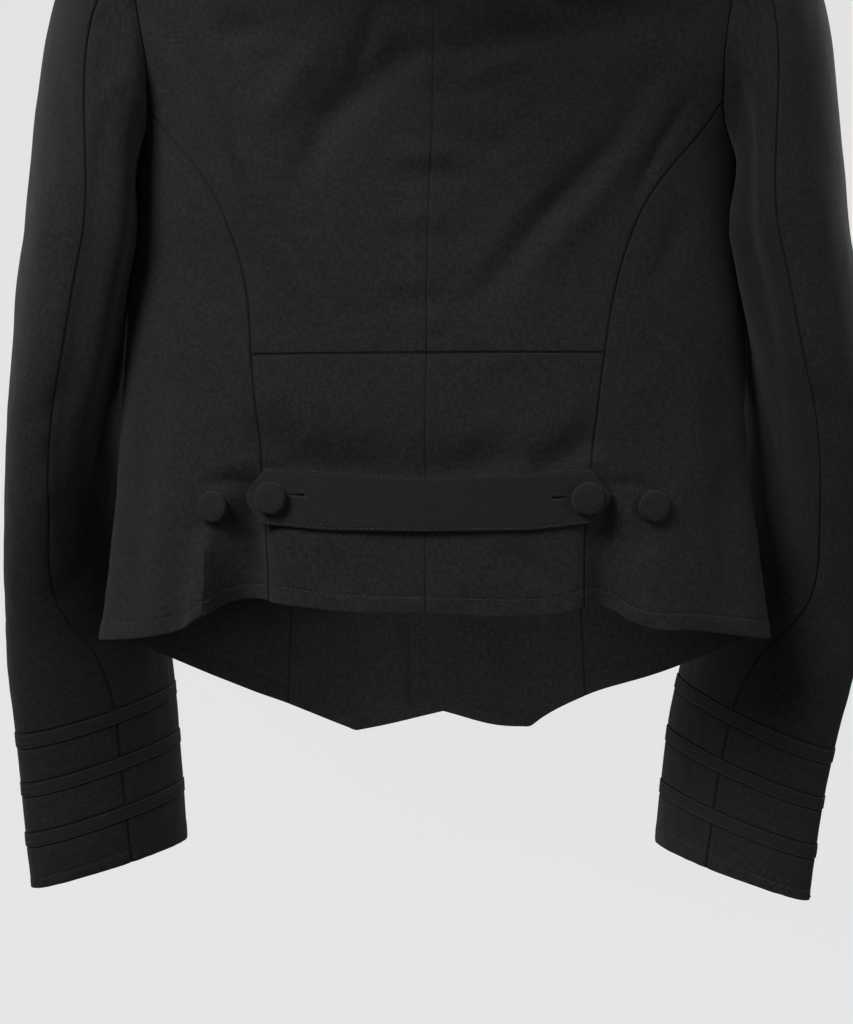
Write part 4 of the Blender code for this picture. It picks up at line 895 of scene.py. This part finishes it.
def panel(side, name, lines):
    # one cloth piece of the body as outer and inner places, and its grain with painted seam shade
    look = pieces[name]
    rough = coons(lines, *np.meshgrid(roughMarks, roughMarks))
    places = plain(side, rough[..., 0], rough[..., 1])
    wide, tall = (np.maximum(lengths(places, axis), 0.03) for axis in (1, 0))
    footSteps = hemSteps if look["foot"] == "hem" else seamSteps
    uNominal = spaced(wide.mean(), seamSteps, seamSteps, look["grid"][0])
    columns = np.stack([spaced(size, seamSteps, footSteps, look["grid"][1])
                        for size in np.interp(uNominal, roughMarks, tall)], 1)
    across = np.stack([spaced(size, seamSteps, seamSteps, look["grid"][0])
                       for size in np.interp(columns.mean(1), roughMarks, wide)])
    if name in corners:  # a row that meets the armhole's corner
        mark, edge = corners[name]
        nearest = int(np.argmin(np.abs(columns[:, edge] - mark)))
        columns = columns + (mark - columns[nearest, edge]) * bell(columns - mark, 0.03)
    u, v = across, columns
    flat = coons(lines, u, v)
    s, z = flat[..., 0], flat[..., 1]
    width, height = np.interp(v, roughMarks, wide), np.interp(u, roughMarks, tall)
    near, away, top, foot = u * width, (1 - u) * width, v * height, (1 - v) * height
    step = lapOffset(side, s) if name == "front" else np.zeros_like(s)
    outer, normal = plain(side, s, z, step), outward(side, s, z, step)
    ridge = z > shoulderLine(ring(s, z)[0]) - 0.0004
    fall = math.atan2(body["neck"][1] - body["shoulder"][1], body["shoulder"][0] - body["neck"][0])
    normal[ridge] = (side * math.sin(fall), 0.0, math.cos(fall))
    under = ridge & (name == "front")
    outer[..., 1] += np.where(ridge, -body["gap"], 0) - np.where(under, body["tuck"][0], 0)
    outer[..., 2] -= np.where(under, body["tuck"][1], 0)
    # sewn edges: a groove on the seam, puckers beside it, and painted shade that darkens the colour along it
    run = side * s * body["halfTurn"]
    stand, sewn, paintedShade = relief(side, s, z), np.zeros_like(s), np.zeros_like(s)
    joins = [(near, run * 0.4, z), (top, run, z * 0.4)]
    if look["away"] == "seam":
        joins.append((away, run * 0.4, z))
    if look["foot"] == "seam":
        joins.append((foot, run, z * 0.4))
    for d, a, b in joins:
        soft = name.startswith("back") and d is near
        sewn += groove(d, *grooves["centreBack" if soft else "seam"])
        # painted shade: the colour darkened along the seam, only lightly on the centre back seam
        paintedShade = np.maximum(paintedShade, (0.15 if soft else 1.0) * bell(d, body["paintedSeamShade"]))
        waves = wander(a, b, 0.0075, 21) + 0.7 * wander(a, b, 0.0125, 22)
        stand += pucker(waves, d, "seam") - 0.00006 * bell(d, 0.0075) + seamWelt(d)
    if name == "back_upper":  # the centre back seam puckers most
        high = 0.5 + 0.5 * ramp(z, -0.375, 0.05)
        stand += pucker(high * wander(run * 0.30, z, 0.0125, 31), near, "centreBack")
        stand += 0.00040 * (1 - ramp(near, 0.0080, 0.0016))
    turned = np.zeros_like(s)
    if look["foot"] == "hem":
        turned = folded(foot, body["hemFold"])
        sewn += groove(foot - stitch["hem"], *grooves["hem"])
        waves = wander(run, z * 0.3, 0.0085, 41) + 0.6 * wander(run, z * 0.4, 0.0150, 42)
        stand += turned * 0.00025 + pucker(waves, foot - 0.008, "hem")
    if look["away"] == "edge":
        turned = np.maximum(turned, folded(away, body["edgeFold"]))
        sewn += groove(away - stitch["front"], *grooves["front"])
    edge = np.minimum(np.minimum(near, away), np.minimum(top, foot))
    rounded = body["round"] * bell(edge, body["round"])
    wall = body["wall"] + body["turnUp"] * turned
    made = walled(outer, normal, stand + sewn - rounded, stand - wall - sewn * 0.6 + rounded, run, z, paintedShade)
    return made | {"across": wide, "down": tall}


def shell(name, made, closed=False):
    # a closed wall between two grids of places, with its grain
    outer, inner, grain = made["outer"], made["inner"], made["grain"]
    rows, cols = outer.shape[:2]
    count, foot = rows * cols, (rows - 1) * cols
    front = gridFaces(rows, cols, closed)[:, [0, 3, 2, 1]]
    j = np.arange(cols if closed else cols - 1)
    k = (j + 1) % cols
    edges = [(j, k), (foot + k, foot + j)]
    if not closed:
        i = np.arange(rows - 1) * cols
        edges += [(i + cols, i), (i + cols - 1, i + 2 * cols - 1)]
    walls = [np.stack([a, b, b + count, a + count], -1) for a, b in edges]
    faces = np.concatenate([front, front[:, ::-1] + count, *walls])
    places = np.concatenate([outer.reshape(-1, 3), inner.reshape(-1, 3)])
    grain = np.concatenate([grain.reshape(-1, 3), grain.reshape(-1, 3) + (0.0007, 0.0011, 0)])
    return build(name, places, faces, grain)


def build(name, places, faces, grain=None, sharp=50.0):
    # a mesh object of four-sided faces, turned to face outward
    p = places[faces]
    if (np.cross(p[:, 2] - p[:, 0], p[:, 3] - p[:, 1]) * p.mean(1)).sum() < 0:
        faces = faces[:, ::-1]
    mesh = bpy.data.meshes.new(name)
    mesh.from_pydata(places.tolist(), [], faces.tolist())
    mesh.shade_smooth()
    mesh.set_sharp_from_angle(angle=math.radians(sharp))
    if grain is not None:
        kept = mesh.attributes.new("grain", "FLOAT_VECTOR", "POINT")
        kept.data.foreach_set("vector", np.ascontiguousarray(grain, np.float32).ravel())
    return placed(name, mesh)


def tubeFaces(rows, around):
    # the sides and ends of a tube, whose last two places are the middles of its ends
    count, j = rows * around, np.arange(0, around, 2)
    k, m, last = j + 1, (j + 2) % around, count - around
    ends = [(m, k, j, np.full_like(j, count)), (np.full_like(j, count + 1), last + j, last + k, last + m)]
    return np.concatenate([gridFaces(rows, around), *(np.stack(end, -1) for end in ends)])


def settle(made, finish, slot, *nodes):
    made.data.materials.append(finishes[finish])
    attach(made, "root")
    if nodes:
        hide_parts(*nodes)
    return made


def stitches(name, runs, size=stitch):
    # short lengths of thread along lines of places, each with the way out of the cloth
    places, faces = [], []
    one = np.concatenate([gridFaces(5, 4), [(3, 2, 1, 0), (16, 17, 18, 19)]])
    ends = np.array([-0.5, -0.36, 0.0, 0.36, 0.5])
    fat = np.array([0.25, 0.85, 1.0, 0.85, 0.25])
    lift = np.array([-0.9, 0.1, 0.45, 0.1, -0.9])
    for line, out in runs:
        out, run = unit(out), runOf(line)
        for m in np.arange(size["pitch"] / 2, run[-1], size["pitch"]):
            mid = sample(line, run, m + ends * size["long"])
            up = unit(sample(out, run, m))
            across = unit(np.cross(up, unit(mid[-1] - mid[0])))
            faces.append(one + len(places))
            for p, f, h in zip(mid, fat * size["round"], lift * size["round"]):
                for t in np.radians((45, 135, 225, 315)):
                    places.append(p + up * (h + math.sin(t) * f) + across * (math.cos(t) * f * 1.15))
    return settle(build(name, np.array(places), np.concatenate(faces), None, 80.0), "thread", "suiting")


def lineOn(side, lines, u, v, lift, front=False):
    # places and outward ways along a line on a body piece
    flat = coons(lines, u, v)
    s, z = flat[..., 0], flat[..., 1]
    step = lapOffset(side, s) if front else np.zeros_like(s)
    out = outward(side, s, z, step)
    return plain(side, s, z, step) + out * (relief(side, s, z) + lift)[..., None], out


def flatOf(grid):
    # a cloth grid's flat width and length, and its area
    a, b = grid[1:, 1:] - grid[:-1, :-1], grid[1:, :-1] - grid[:-1, 1:]
    area = np.linalg.norm(np.cross(a, b), axis=-1).sum() / 2
    return [round(float(lengths(grid, axis).max()), 3) for axis in (1, 0)], float(area)


tags = {-1: "left", 1: "right"}
seamLines = {side: seamsOf(side) for side in (-1, 1)}
hemRuns, frontRuns, innerRuns, cloths = [], [], [], {}
within = -body["wall"] - stitch["inside"]
for side, tag in tags.items():
    for piece in pieces:
        lines, front = seamLines[side][piece], piece == "front"
        made = panel(side, piece, lines)
        name = f"{piece}_{tag}"
        cloth = settle(shell(name + "_cloth", made), "suiting", "suiting", name)
        cloths[name] = cloth, *flatOf(made["outer"])
        if pieces[piece]["foot"] == "hem":
            u = np.linspace(0.004, 0.996, 160)
            v = 1 - stitch["hem"] / np.interp(u, roughMarks, made["down"])
            hemRuns.append(lineOn(side, lines, u, v, 0.0, front))
            if "front" in piece:
                innerRuns.append(lineOn(side, lines, u, v, within, front))
        if front:
            v = np.linspace(0.01, 1 - stitch["hem"] / made["down"][-1], 300)
            u = 1 - stitch["front"] / np.interp(v, roughMarks, made["across"])
            frontRuns.append(lineOn(side, lines, u, v, 0.0, True))
            innerRuns.append(lineOn(side, lines, u, v, within, True))
print("body pieces made")


def sleeveRing(side, z, c):
    # one plain section of the sleeve at height z, at places c in columns round it
    table, last = sleeve["rings"], sleeve["columns"]
    centre = 1 if side < 0 else 2
    back, front = along(table, z, 7), along(table, z, 8)
    middle, marks = (front + back) / 2, [0, *sleeve["seams"], last]
    phi = np.radians(np.interp(np.mod(c, last), marks, [middle - 180, back, front, middle + 180]))
    cx, cy = along(table, z, centre), along(table, z, 3)
    above, under = np.minimum(z + 0.004, table[0][0]), z - 0.004
    gx, gy = ((along(table, under, k) - along(table, above, k)) / (above - under) for k in (centre, 3))
    half, wide, tilt = along(table, z, 4), along(table, z, 5), math.radians(along(table, z, 6))
    ex = np.cos(phi) * math.cos(tilt) * wide + np.sin(phi) * math.sin(tilt) * half
    ey = np.cos(phi) * math.sin(tilt) * wide - np.sin(phi) * math.cos(tilt) * half
    return np.stack([side * (cx + ex), cy + ey, z + ex * (gx + along(table, z, 9)) + ey * gy], -1)


def headRows(side, arm, c, ts):
    # the sleeve head: from the armhole to the first section, leaving outward and down
    last = sleeve["columns"]
    flat = onto(arm, np.mod(c, last) / last)
    s, z = flat[:, 0], flat[:, 1]
    start = plain(side, s, z) + outward(side, s, z) * relief(side, s, z)[:, None]
    first, second = sleeveRing(side, sleeve["rings"][0][0], c), sleeveRing(side, sleeve["headZ"], c)
    around = turn * c / last
    down = 0.45 + 0.50 * (1 - np.cos(around)) / 2
    leave = unit(np.stack([side * np.sqrt(1 - down**2), -0.30 * np.sin(around), -down], -1))
    fall = unit(second - first)
    chord = np.linalg.norm(first - start, axis=1, keepdims=True)
    return [start * (1 + 2 * t) * (1 - t) ** 2 + first * t * t * (3 - 2 * t)
            + 0.9 * chord * leave * t * (1 - t) ** 2 - 0.9 * chord * fall * t * t * (1 - t) for t in ts]


def clearOfBody(grid):
    # sleeve places pushed clear of the body's section, below the underarm
    z = grid[..., 2]
    drift = along(body["drift"], z)
    x, y = grid[..., 0] - drift, grid[..., 1]
    ease = ramp(body["underarmZ"], z, 0.030)
    margin = sleeve["clear"] * ease
    a, b, n = along(body["widths"], z) + margin, along(body["widths"], z, 2) + margin, body["squareness"]
    reach = (np.abs(x) / a) ** n + (np.abs(y) / b) ** n
    grow = np.where((ease > 0) & (reach < 1), np.maximum(reach, 1e-9) ** (-1 / n), 1.0)
    moved = grid.copy()
    moved[..., 0] = x * grow + drift
    moved[..., 1] = y * grow
    return moved


def sleevePlaces(side, arm, c):
    # the sleeve from the armhole to the foot, at places c in columns round it
    rows = headRows(side, arm, c, headSteps) + [sleeveRing(side, z, c) for z in sleeveZs]
    return clearOfBody(np.array(rows))


def sleeveRelief(side, c, grid):
    last, z = sleeve["columns"], grid[..., 2]
    out = np.zeros_like(z)
    for turned in (-last, 0, last):
        out += creased([([((x + turned), h) for x, h in places], heights, half)
                        for places, heights, half in sleeve["creases"] + sleeve["sided"][side]],
                       c, z, 0.001, sleeve["columnWide"])
    angle = turn * c / last
    a, b = np.cos(angle) * 0.055, np.sin(angle) * 0.055
    slow = (0.0012 * wander(a + 0.5 * side, z + b, 0.060, 51)
            + 0.0006 * wander(a + z * 0.3, z * 0.6 - b, 0.028, 52))
    fine = 0.00022 * wander(a * 2 + z * 0.4, z * 0.8 + b * 2, 0.012, 53)
    cuff = np.maximum(ramp(z, -0.70, 0.05), 0.25)
    return (out + slow) * cuff + fine


sleevePieces = {"upper_sleeve": (sleeve["seams"][1], sleeve["columns"] + sleeve["seams"][0], 66),
                "under_sleeve": (*sleeve["seams"], 80)}
cuffFoot, columnStep = sleeve["rings"][-1][0], 0.05
headSteps = np.r_[0.0, 0.004, 0.012, 0.022, 0.036, np.linspace(0.055, 1.0, 34)]
braidEdges = [cuffFoot + up + way * (braid["wide"] / 2 + 0.0002) for up in braid["up"] for way in (-1, 1)]
edgeSteps = np.array([-0.0013, -0.0008, -0.0004, 0, 0.0004, 0.0008, 0.0013])
sleeveZs = np.sort(np.r_[np.arange(-0.3635, cuffFoot + 0.0150, -0.0034), cuffFoot + hemSteps,
                         np.add.outer(braidEdges, edgeSteps).ravel()])[::-1]
sleeveZs = sleeveZs[np.r_[True, np.diff(sleeveZs) < -0.00018]]


def sleevePanel(side, piece, arm):
    # one cloth piece of a sleeve as outer and inner places, and its grain with painted seam shade
    (first, last, count), columnWide = sleevePieces[piece], sleeve["columnWide"]
    c = first + (last - first) * spaced((last - first) * columnWide, seamSteps, seamSteps, count)
    grid = sleevePlaces(side, arm, c)
    ahead = sleevePlaces(side, arm, c + columnStep) - sleevePlaces(side, arm, c - columnStep)
    normal = unit(np.cross(ahead, np.gradient(grid, axis=0))) * side
    column = np.broadcast_to(np.mod(c, sleeve["columns"]), grid.shape[:2])
    grid[0] -= unit(grid[3] - grid[0]) * sleeve["under"]
    near, away = (c - first) * columnWide, (last - c) * columnWide
    seam = np.broadcast_to(np.minimum(near, away), column.shape)
    z = np.broadcast_to(np.r_[np.full(len(headSteps), 0.0), sleeveZs][:, None], column.shape)
    top = np.linalg.norm(grid - grid[0], axis=-1)
    foot = z - cuffFoot
    stand = sleeveRelief(side, column, grid) * ramp(top, 0, 0.012)
    level = grid[..., 2]
    sewn = (groove(seam, *grooves["sleeve"]) + groove(top, *grooves["sleeve"])
            + groove(foot - stitch["hem"], *grooves["hem"]))
    for edge in braidEdges:
        sewn += groove(foot + cuffFoot - edge, *grooves["besideBraid"])
    waves = wander(seam * 0.4, level, 0.0080, 61) + 0.6 * wander(seam * 0.4, level, 0.0150, 62)
    stand = stand + pucker(waves, seam, "sleeve") + seamWelt(seam)
    waves = wander(column * columnWide, top * 0.3, 0.0095, 63)
    stand += pucker(waves, top, "sleeveHead") + 0.0006 * bell(top - 0.007, 0.005)
    turned = folded(foot, body["hemFold"])
    stand += turned * 0.00015
    edge = np.minimum(np.minimum(seam, np.abs(foot)), top)
    rounded = body["round"] * bell(edge, body["round"])
    run = np.r_[0, np.cumsum(np.linalg.norm(np.diff(grid, axis=0), axis=-1).mean(1))]
    # painted shade: the colour darkened along the sleeve seams, round the armhole and beside each braid
    paintedShade = np.maximum(bell(seam, body["paintedSeamShade"]), bell(top, 0.0008))
    for edge in braidEdges:
        paintedShade = np.maximum(paintedShade, bell(foot + cuffFoot - edge, 0.0006))
    within = stand - sleeve["wall"] - 0.0004 * turned - sewn * 0.6 + rounded
    made = walled(grid, normal, stand + sewn - rounded, within,
                  column * columnWide * side, -run[:, None], paintedShade)
    for edge, beside in ((0, 1), (-1, -2)):  # the two pieces stop just short of the seam
        shift = unit(made["outer"][:, beside] - made["outer"][:, edge]) * body["gap"]
        made["outer"][:, edge] += shift
        made["inner"][:, edge] += shift
    return made


def sleeveLine(side, c, z, lift):
    # places round the sleeve at level z, and the ways out there
    grid, ahead, below = (clearOfBody(sleeveRing(side, h, k))
                          for h, k in ((z, c), (z, c + columnStep), (z - 0.001, c)))
    out = unit(np.cross(ahead - grid, below - grid)) * side
    return grid + out * (sleeveRelief(side, np.mod(c, sleeve["columns"]), grid) + lift)[:, None], out


def braidBand(side, middle, seed):
    # a band that follows the cuff, rounded at its edges, and how long it is
    half, seat = braid["wide"] / 2, braid["seat"]
    offsets = np.array([0, 0.3, 0.55, 0.68, 0.74, 0.78, 0.82, 0.88, 0.95, 0.985, 1])
    offsets = np.r_[offsets[::-1], -offsets[1:]] * half
    c = np.linspace(0, sleeve["columns"], 133)[:-1]
    grid, ahead = (np.array([sleeveRing(side, middle + o, k) for o in offsets]) for k in (c, c + columnStep))
    normal = unit(np.cross(ahead - grid, np.gradient(grid, axis=0))) * side
    column = np.broadcast_to(c, grid.shape[:2])
    stand = sleeveRelief(side, column, grid)
    worn = 0.00016 * wander(column * sleeve["columnWide"], grid[..., 2] * 0.5, 0.010, seed)
    bevel = braid["thick"] * (1 - np.abs(offsets / half) ** 12)[:, None]
    bevel = bevel + groove(half - 0.0011 - np.abs(offsets), *grooves["onBraid"])[:, None]
    made = walled(grid, normal, stand + worn + seat + 0.0001 + bevel, stand + seat,
                  column * sleeve["columnWide"], offsets[:, None], 0.0)
    return made, float(lengths(grid, 1).max())


cuffRuns, braidRuns = [], []
for side, tag in tags.items():
    for piece in sleevePieces:
        made = sleevePanel(side, piece, seamLines[side]["armhole"])
        name = f"{piece}_{tag}"
        cloth = settle(shell(name + "_cloth", made), "suiting", "suiting", name)
        cloths[name] = cloth, *flatOf(made["outer"])
    c = np.linspace(0, sleeve["columns"], sleeve["linePlaces"])
    cuffRuns.append(sleeveLine(side, c, cuffFoot + stitch["hem"], -0.0001))
    for number, up in enumerate(braid["up"], 1):
        made, ringLong = braidBand(side, cuffFoot + up, 70 + number)
        name = f"braid_{tag}_{number}"
        band = settle(shell(name + "_band", made, True), "braid", "herringbone", name)
        cloths[name] = band, [round(ringLong, 3), 0.010], ringLong * braid["wide"]
        for way in (-1, 1):
            level = cuffFoot + up + way * (braid["wide"] / 2 - 0.0010)
            braidRuns.append(sleeveLine(side, c, level, braid["thick"] + 0.0001))
print("sleeves and braids made")


def onBack(x, z):
    # plain places on the back at x from the centre, and the way out of the cloth there
    x, z = np.broadcast_arrays(np.asarray(x, float), np.asarray(z, float))
    side = np.where(x < 0, -1, 1)
    s = np.array([shareAt(abs(a), b) for a, b in zip(x.ravel(), z.ravel())]).reshape(x.shape)
    places, normal = np.zeros(x.shape + (3,)), np.zeros(x.shape + (3,))
    for one in (-1, 1):
        here = side == one
        if here.any():
            normal[here], places[here] = outward(one, s[here], z[here]), plain(one, s[here], z[here])
    return places, normal


def beltEdges(x):
    return np.interp(x, *zip(*belt["top"])), np.interp(x, *zip(*belt["foot"]))


def beltBow(x):
    # how far the belt stands off the back
    return belt["clear"] + belt["bow"] * np.maximum(0, 1 - (x / belt["bowHalf"]) ** 2)


def beltWaver(x, z):
    return 0.00035 * wander(x, z * 0.6, 0.030, 81)


def makeBelt():
    low, high = belt["top"][0][0], belt["top"][-1][0]
    corners = sorted({p[0] for p in belt["top"] + belt["foot"]})
    ends = np.array([0, 0.25, 0.6, 1.1, 1.8]) / 1000
    middle = np.linspace(low + 0.0022, high - 0.0022, 150)
    x = np.unique(np.round(np.r_[low + ends, middle, high - ends, corners], 5))
    steps = np.array([0.0, 0.2, 0.5, 0.9, 1.4, 1.9, 2.4, 3.2]) / 1000
    share = spaced(0.033, steps, steps, 18)
    xs, ts = np.meshgrid(x, share)
    top, foot = beltEdges(xs)
    z = top + (foot - top) * ts
    places, normal = onBack(xs, z)
    edge = np.minimum(np.minimum(ts, 1 - ts) * (top - foot), np.minimum(xs - low, high - xs))
    bow, stand = beltBow(xs), beltWaver(xs, z) + 0.00012 * wander(xs, z, 0.010, 82)
    rim = 0.0009 * np.maximum(0, 1 - edge / 0.0010) ** 2
    sewn = groove(edge - belt["edge"], *grooves["belt"])
    atEnds = ramp(np.abs(xs), belt["secondFrom"] - 0.0005, 0.002)
    sewn += groove(edge - belt["second"], *grooves["beltSecond"]) * atEnds
    for hx, hz, half in belt["holes"]:
        slit = np.hypot(np.maximum(np.abs(xs - hx) - half, 0), z - hz)
        sewn -= 0.0019 * bell(slit, 0.00055) - 0.00035 * bell(slit - 0.0013, 0.0007)
    wall = walled(places, normal, bow + belt["thick"] + stand + sewn - rim, bow + stand * 0.5 + rim * 0.3,
                  xs, z, 0.0)
    made = settle(shell("half_belt_band", wall), "herringbone", "herringbone", "half_belt")
    cloths["half_belt"] = made, belt["flat"], belt["area"]


def beltStitching():
    # edge stitching parallel to the outline, with a second row at both ends
    outline, span = belt["top"] + belt["foot"][::-1], belt["secondFrom"]
    first, second = (np.concatenate([np.linspace(a, b, 60) for a, b in zip(loop, loop[1:] + loop[:1])])
                     for loop in (insetLoop(outline, belt[row]) for row in ("edge", "second")))
    runs = []
    for part in (first, second[second[:, 0] < -span], second[second[:, 0] > span]):
        jumps = np.linalg.norm(np.diff(part, axis=0), axis=1)
        if part is not first and jumps.max() > 0.01:  # begin at the gap
            part = np.roll(part, -jumps.argmax() - 1, axis=0)
        x, z = part.T
        at, out = onBack(x, z)
        runs.append((at + out * (beltBow(x) + belt["thick"] - 0.00025 + beltWaver(x, z))[:, None], out))
    return runs


def holeStitching():
    # worked buttonholes: close stitches across the slit's edge
    holes = []
    for hx, hz, half in belt["holes"]:
        for a in np.linspace(-half, half, 19):
            for up in (-1, 1):
                holes.append(((hx + a, hz + up * 0.0006), (hx + a, hz + up * 0.0017)))
        for end in (-1, 1):
            for a in np.linspace(-0.0016, 0.0016, 4):
                holes.append(((hx + end * half, hz + a), (hx + end * (half + 0.0014), hz + a)))
    runs = []
    for a, b in holes:
        x, z = np.linspace(a, b, 3).T
        at, out = onBack(x, z)
        runs.append((at + out * (beltBow(x) + belt["thick"] - 0.0001)[:, None], out))
    return runs


def insetLoop(outline, inset):
    # a closed outline moved inward by inset
    points = np.array(outline)
    centre = points.mean(0)
    moved = []
    for k in range(len(points)):
        a, b, c = points[k - 1], points[k], points[(k + 1) % len(points)]
        n1, n2 = (np.array([-(q - p)[1], (q - p)[0]]) / np.linalg.norm(q - p) for p, q in ((a, b), (b, c)))
        n1, n2 = (n if n @ (centre - b) > 0 else -n for n in (n1, n2))
        way = n1 + n2
        moved.append(tuple(b + way * inset / max(way @ n1, 0.35)))
    return moved


makeBelt()
print("half belt made")


def makeButton(name, centre, out, wide):
    # cloth drawn over a flat dome and gathered underneath
    out = unit(np.asarray(out, float))
    across = unit(np.cross(out, (0.0, 0.0, 1.0)))
    up = np.cross(out, across)
    high, profile = buttons["high"], buttons["profile"]
    turns = np.linspace(0, turn, 72, endpoint=False)
    seed = sum(ord(k) for k in name)
    drawn = 1 + 0.004 * np.sin(turns * 9 + seed) + 0.003 * np.sin(turns * 14 + seed * 2)
    places, grain = [], []
    for r, h in profile:
        for t, k in zip(turns, drawn):
            soft = 1 + (k - 1) * min(1.0, max(0.0, (r - 0.2) * 3))
            way = across * math.cos(t) + up * math.sin(t)
            places.append(centre + out * h * high + wide * r * soft * way)
            grain.append((wide * r * math.cos(t) * 1.3, wide * r * math.sin(t) * 1.3 + h * high, 0.0))
    places += [centre + out * high * 0.04, centre + out * high * 1.001]
    grain += [(0, 0, 0), (0, 0, 0)]
    faces = tubeFaces(len(profile), len(turns))
    made = build(name + "_covered", np.array(places), faces, np.array(grain))
    settle(made, "covered", "covered_button", name)


for name, x, z, lift, share in buttons["back"]:
    places, normal = onBack([x], [z])
    makeButton(name, places[0] + normal[0] * lift, normal[0], buttons["wide"] * share)
for number, z in enumerate(buttons["front"], 1):
    centre = plain(-1, 1.0, z) + (0, 0.0007, 0)
    makeButton(f"button_front_{number}", centre, (0.0, 1.0, 0.0), buttons["wide"])


def makeCollar():
    # a stand collar from the centre front round the nape and back again
    feet = []
    for side in (-1, 1):
        neck, neckFront = seamLines[side]["neck"]
        s = np.r_[1 - 0.0009 / body["halfTurn"], neckFront[:, 0], neck[::-1, 0][1:]]
        z = np.r_[body["frontNeckZ"], neckFront[:, 1], neck[::-1, 1][1:]]
        step = lapOffset(side, s)
        feet.append(plain(side, s, z, step))
    foot = np.concatenate([feet[0], feet[1][::-1][1:]])
    run = runOf(foot)
    even = np.linspace(0, run[-1], 241)
    foot = sample(foot, run, even)
    for _ in range(14):
        foot[1:-1] = foot[1:-1] * 0.5 + (foot[:-2] + foot[2:]) * 0.25
    away = unit(np.c_[foot[:, :2] - (0.0, 0.004), np.zeros(len(foot))])
    ahead = np.clip(foot[:, 1] / 0.06, -1, 1)
    lean = 0.14 + 0.08 * ahead
    up = unit(np.c_[-away[:, :2] * lean[:, None], np.ones(len(away))])
    fromEnd = np.minimum(even, even[-1] - even)
    front = collar["frontShare"]
    high = collar["high"] * (front + (1 - front) * ramp(fromEnd, 0, 0.045) ** 0.8)
    high *= 1 - 0.22 * bell(fromEnd, 0.006)
    base = foot - away * 0.0005 + (0, 0, 0.0004)
    steps = np.array([0.0, 0.3, 0.8, 1.5, 2.6, 4.0]) / 1000
    share = np.sort(1 - spaced(0.036, steps, seamSteps, 16))
    grid = np.stack([base + up * (high * t)[:, None] for t in share])
    normal = unit(np.cross(np.gradient(grid, axis=1), np.gradient(grid, axis=0)))
    normal *= np.sign((normal * away[None]).sum(-1, keepdims=True))
    a, b = np.broadcast_to(even, grid.shape[:2]), share[:, None] * high
    edge = np.minimum(high - b, np.broadcast_to(fromEnd, a.shape))
    stand = 0.0007 * wander(a, b, 0.045, 91) + 0.00022 * wander(a, b * 0.5, 0.012, 92)
    sewn = groove(edge - stitch["collar"], *grooves["collar"]) + groove(b, *grooves["neck"])
    rounded = 0.0008 * np.maximum(0, 1 - edge / 0.0010) ** 2
    wall = walled(grid, normal, stand + sewn - rounded, stand - collar["thick"] - sewn * 0.5 + rounded,
                  a, b, 0.0)
    made = settle(shell("collar_stand", wall), "suiting", "suiting", "collar")
    long = float(run[-1])
    cloths["collar"] = made, [round(long, 3), collar["high"]], long * collar["high"] * 0.95
    row = int(np.argmin(np.abs(share * collar["high"] - (collar["high"] - stitch["collar"]))))
    return [(wall["outer"][row, 8:-8], normal[row, 8:-8])]


collarRuns = makeCollar()
print("collar and buttons made")


def tube(name, path, radius, finish, slot, node, sides=20):
    # a round wire along a path in the XZ plane
    path = np.array(path, float)
    ahead = unit(np.gradient(path, axis=0))
    across = np.tile((0.0, 1.0, 0.0), (len(path), 1))
    up = np.cross(ahead, across)
    angles = np.linspace(0, turn, sides, endpoint=False)
    radius = np.broadcast_to(radius, len(path))
    places = [p + r * (math.cos(t) * u + math.sin(t) * v)
              for p, u, v, r in zip(path, across, up, radius) for t in angles]
    places += [path[0], path[-1]]
    settle(build(name, np.array(places), tubeFaces(len(path), sides)), finish, slot, node)


def makeHanger():
    stations = hanger["reach"] * np.sin(np.linspace(-math.pi / 2, math.pi / 2, 91))
    places, sides = [], 28
    for x in stations:
        end = (abs(x) / hanger["reach"]) ** 2
        high, half = 0.020 - 0.007 * end, 0.0058 - 0.0010 * end
        shrink = 1 - 0.35 * max(0.0, (abs(x) / hanger["reach"] - 0.985) / 0.015) ** 2
        top = shoulderLine(x) - hanger["clear"]
        for t in np.linspace(0, turn, sides, endpoint=False):
            cx, cz = (np.sign(k) * abs(k) ** 0.6 for k in (math.cos(t), math.sin(t)))
            places.append((x, cx * half * shrink, top - high / 2 + cz * high / 2 * shrink))
    places += [np.mean(places[:sides], axis=0), np.mean(places[-sides:], axis=0)]
    faces = tubeFaces(len(stations), sides)
    settle(build("hanger_bar", np.array(places), faces), "wood", "hanger_wood", "hanger_body")
    middle = -hanger["hook"] + hanger["wire"] / 2
    stem = np.array([(0.0, 0.0, float(shoulderLine(0.0)) - hanger["clear"] + 0.0004), (0.0, 0.0, -0.0530),
                     (0.0012, 0.0, -0.0480), (0.0046, 0.0, -0.0425), (0.0094, 0.0, -0.0375)])
    turns = np.radians(np.linspace(-48, 205, 80))
    bend = np.stack([hanger["hook"] * np.cos(turns), turns * 0, middle + hanger["hook"] * np.sin(turns)], 1)
    knots = np.r_[stem, bend[:1]]
    t = np.arange(len(knots))
    fine = np.linspace(0, len(knots) - 1, 60)
    smooth = np.stack([along([(a, b) for a, b in zip(t, knots[:, k])], fine) for k in range(3)], 1)
    path = np.r_[smooth[:-1], bend]
    radius = np.full(len(path), hanger["wire"] / 2)
    radius[-3:] *= (0.97, 0.85, 0.6)
    tube("hook_wire", path, radius, "steel", "hook_steel", "hanger_hook")


makeHanger()
sewing = {name: stitches(name, runs) for name, runs in (
    ("stitches_hem", hemRuns), ("stitches_front", frontRuns),
    ("stitches_inside", [(line, -out) for line, out in innerRuns]), ("stitches_cuffs", cuffRuns),
    ("stitches_braids", braidRuns), ("stitches_belt", beltStitching()), ("stitches_collar", collarRuns))}
sewing["stitches_buttonholes"] = stitches("stitches_buttonholes", holeStitching(), holeStitch)
print("hanger and stitching made")

for name, (cloth, sizes, area) in cloths.items():
    wide, long = sizes
    area = min(max(area, 0.3 * wide * long), wide * long)
    print(f"sheet {name}: {wide * 1000:.0f} x {long * 1000:.0f} mm, {area:.4f} m2")
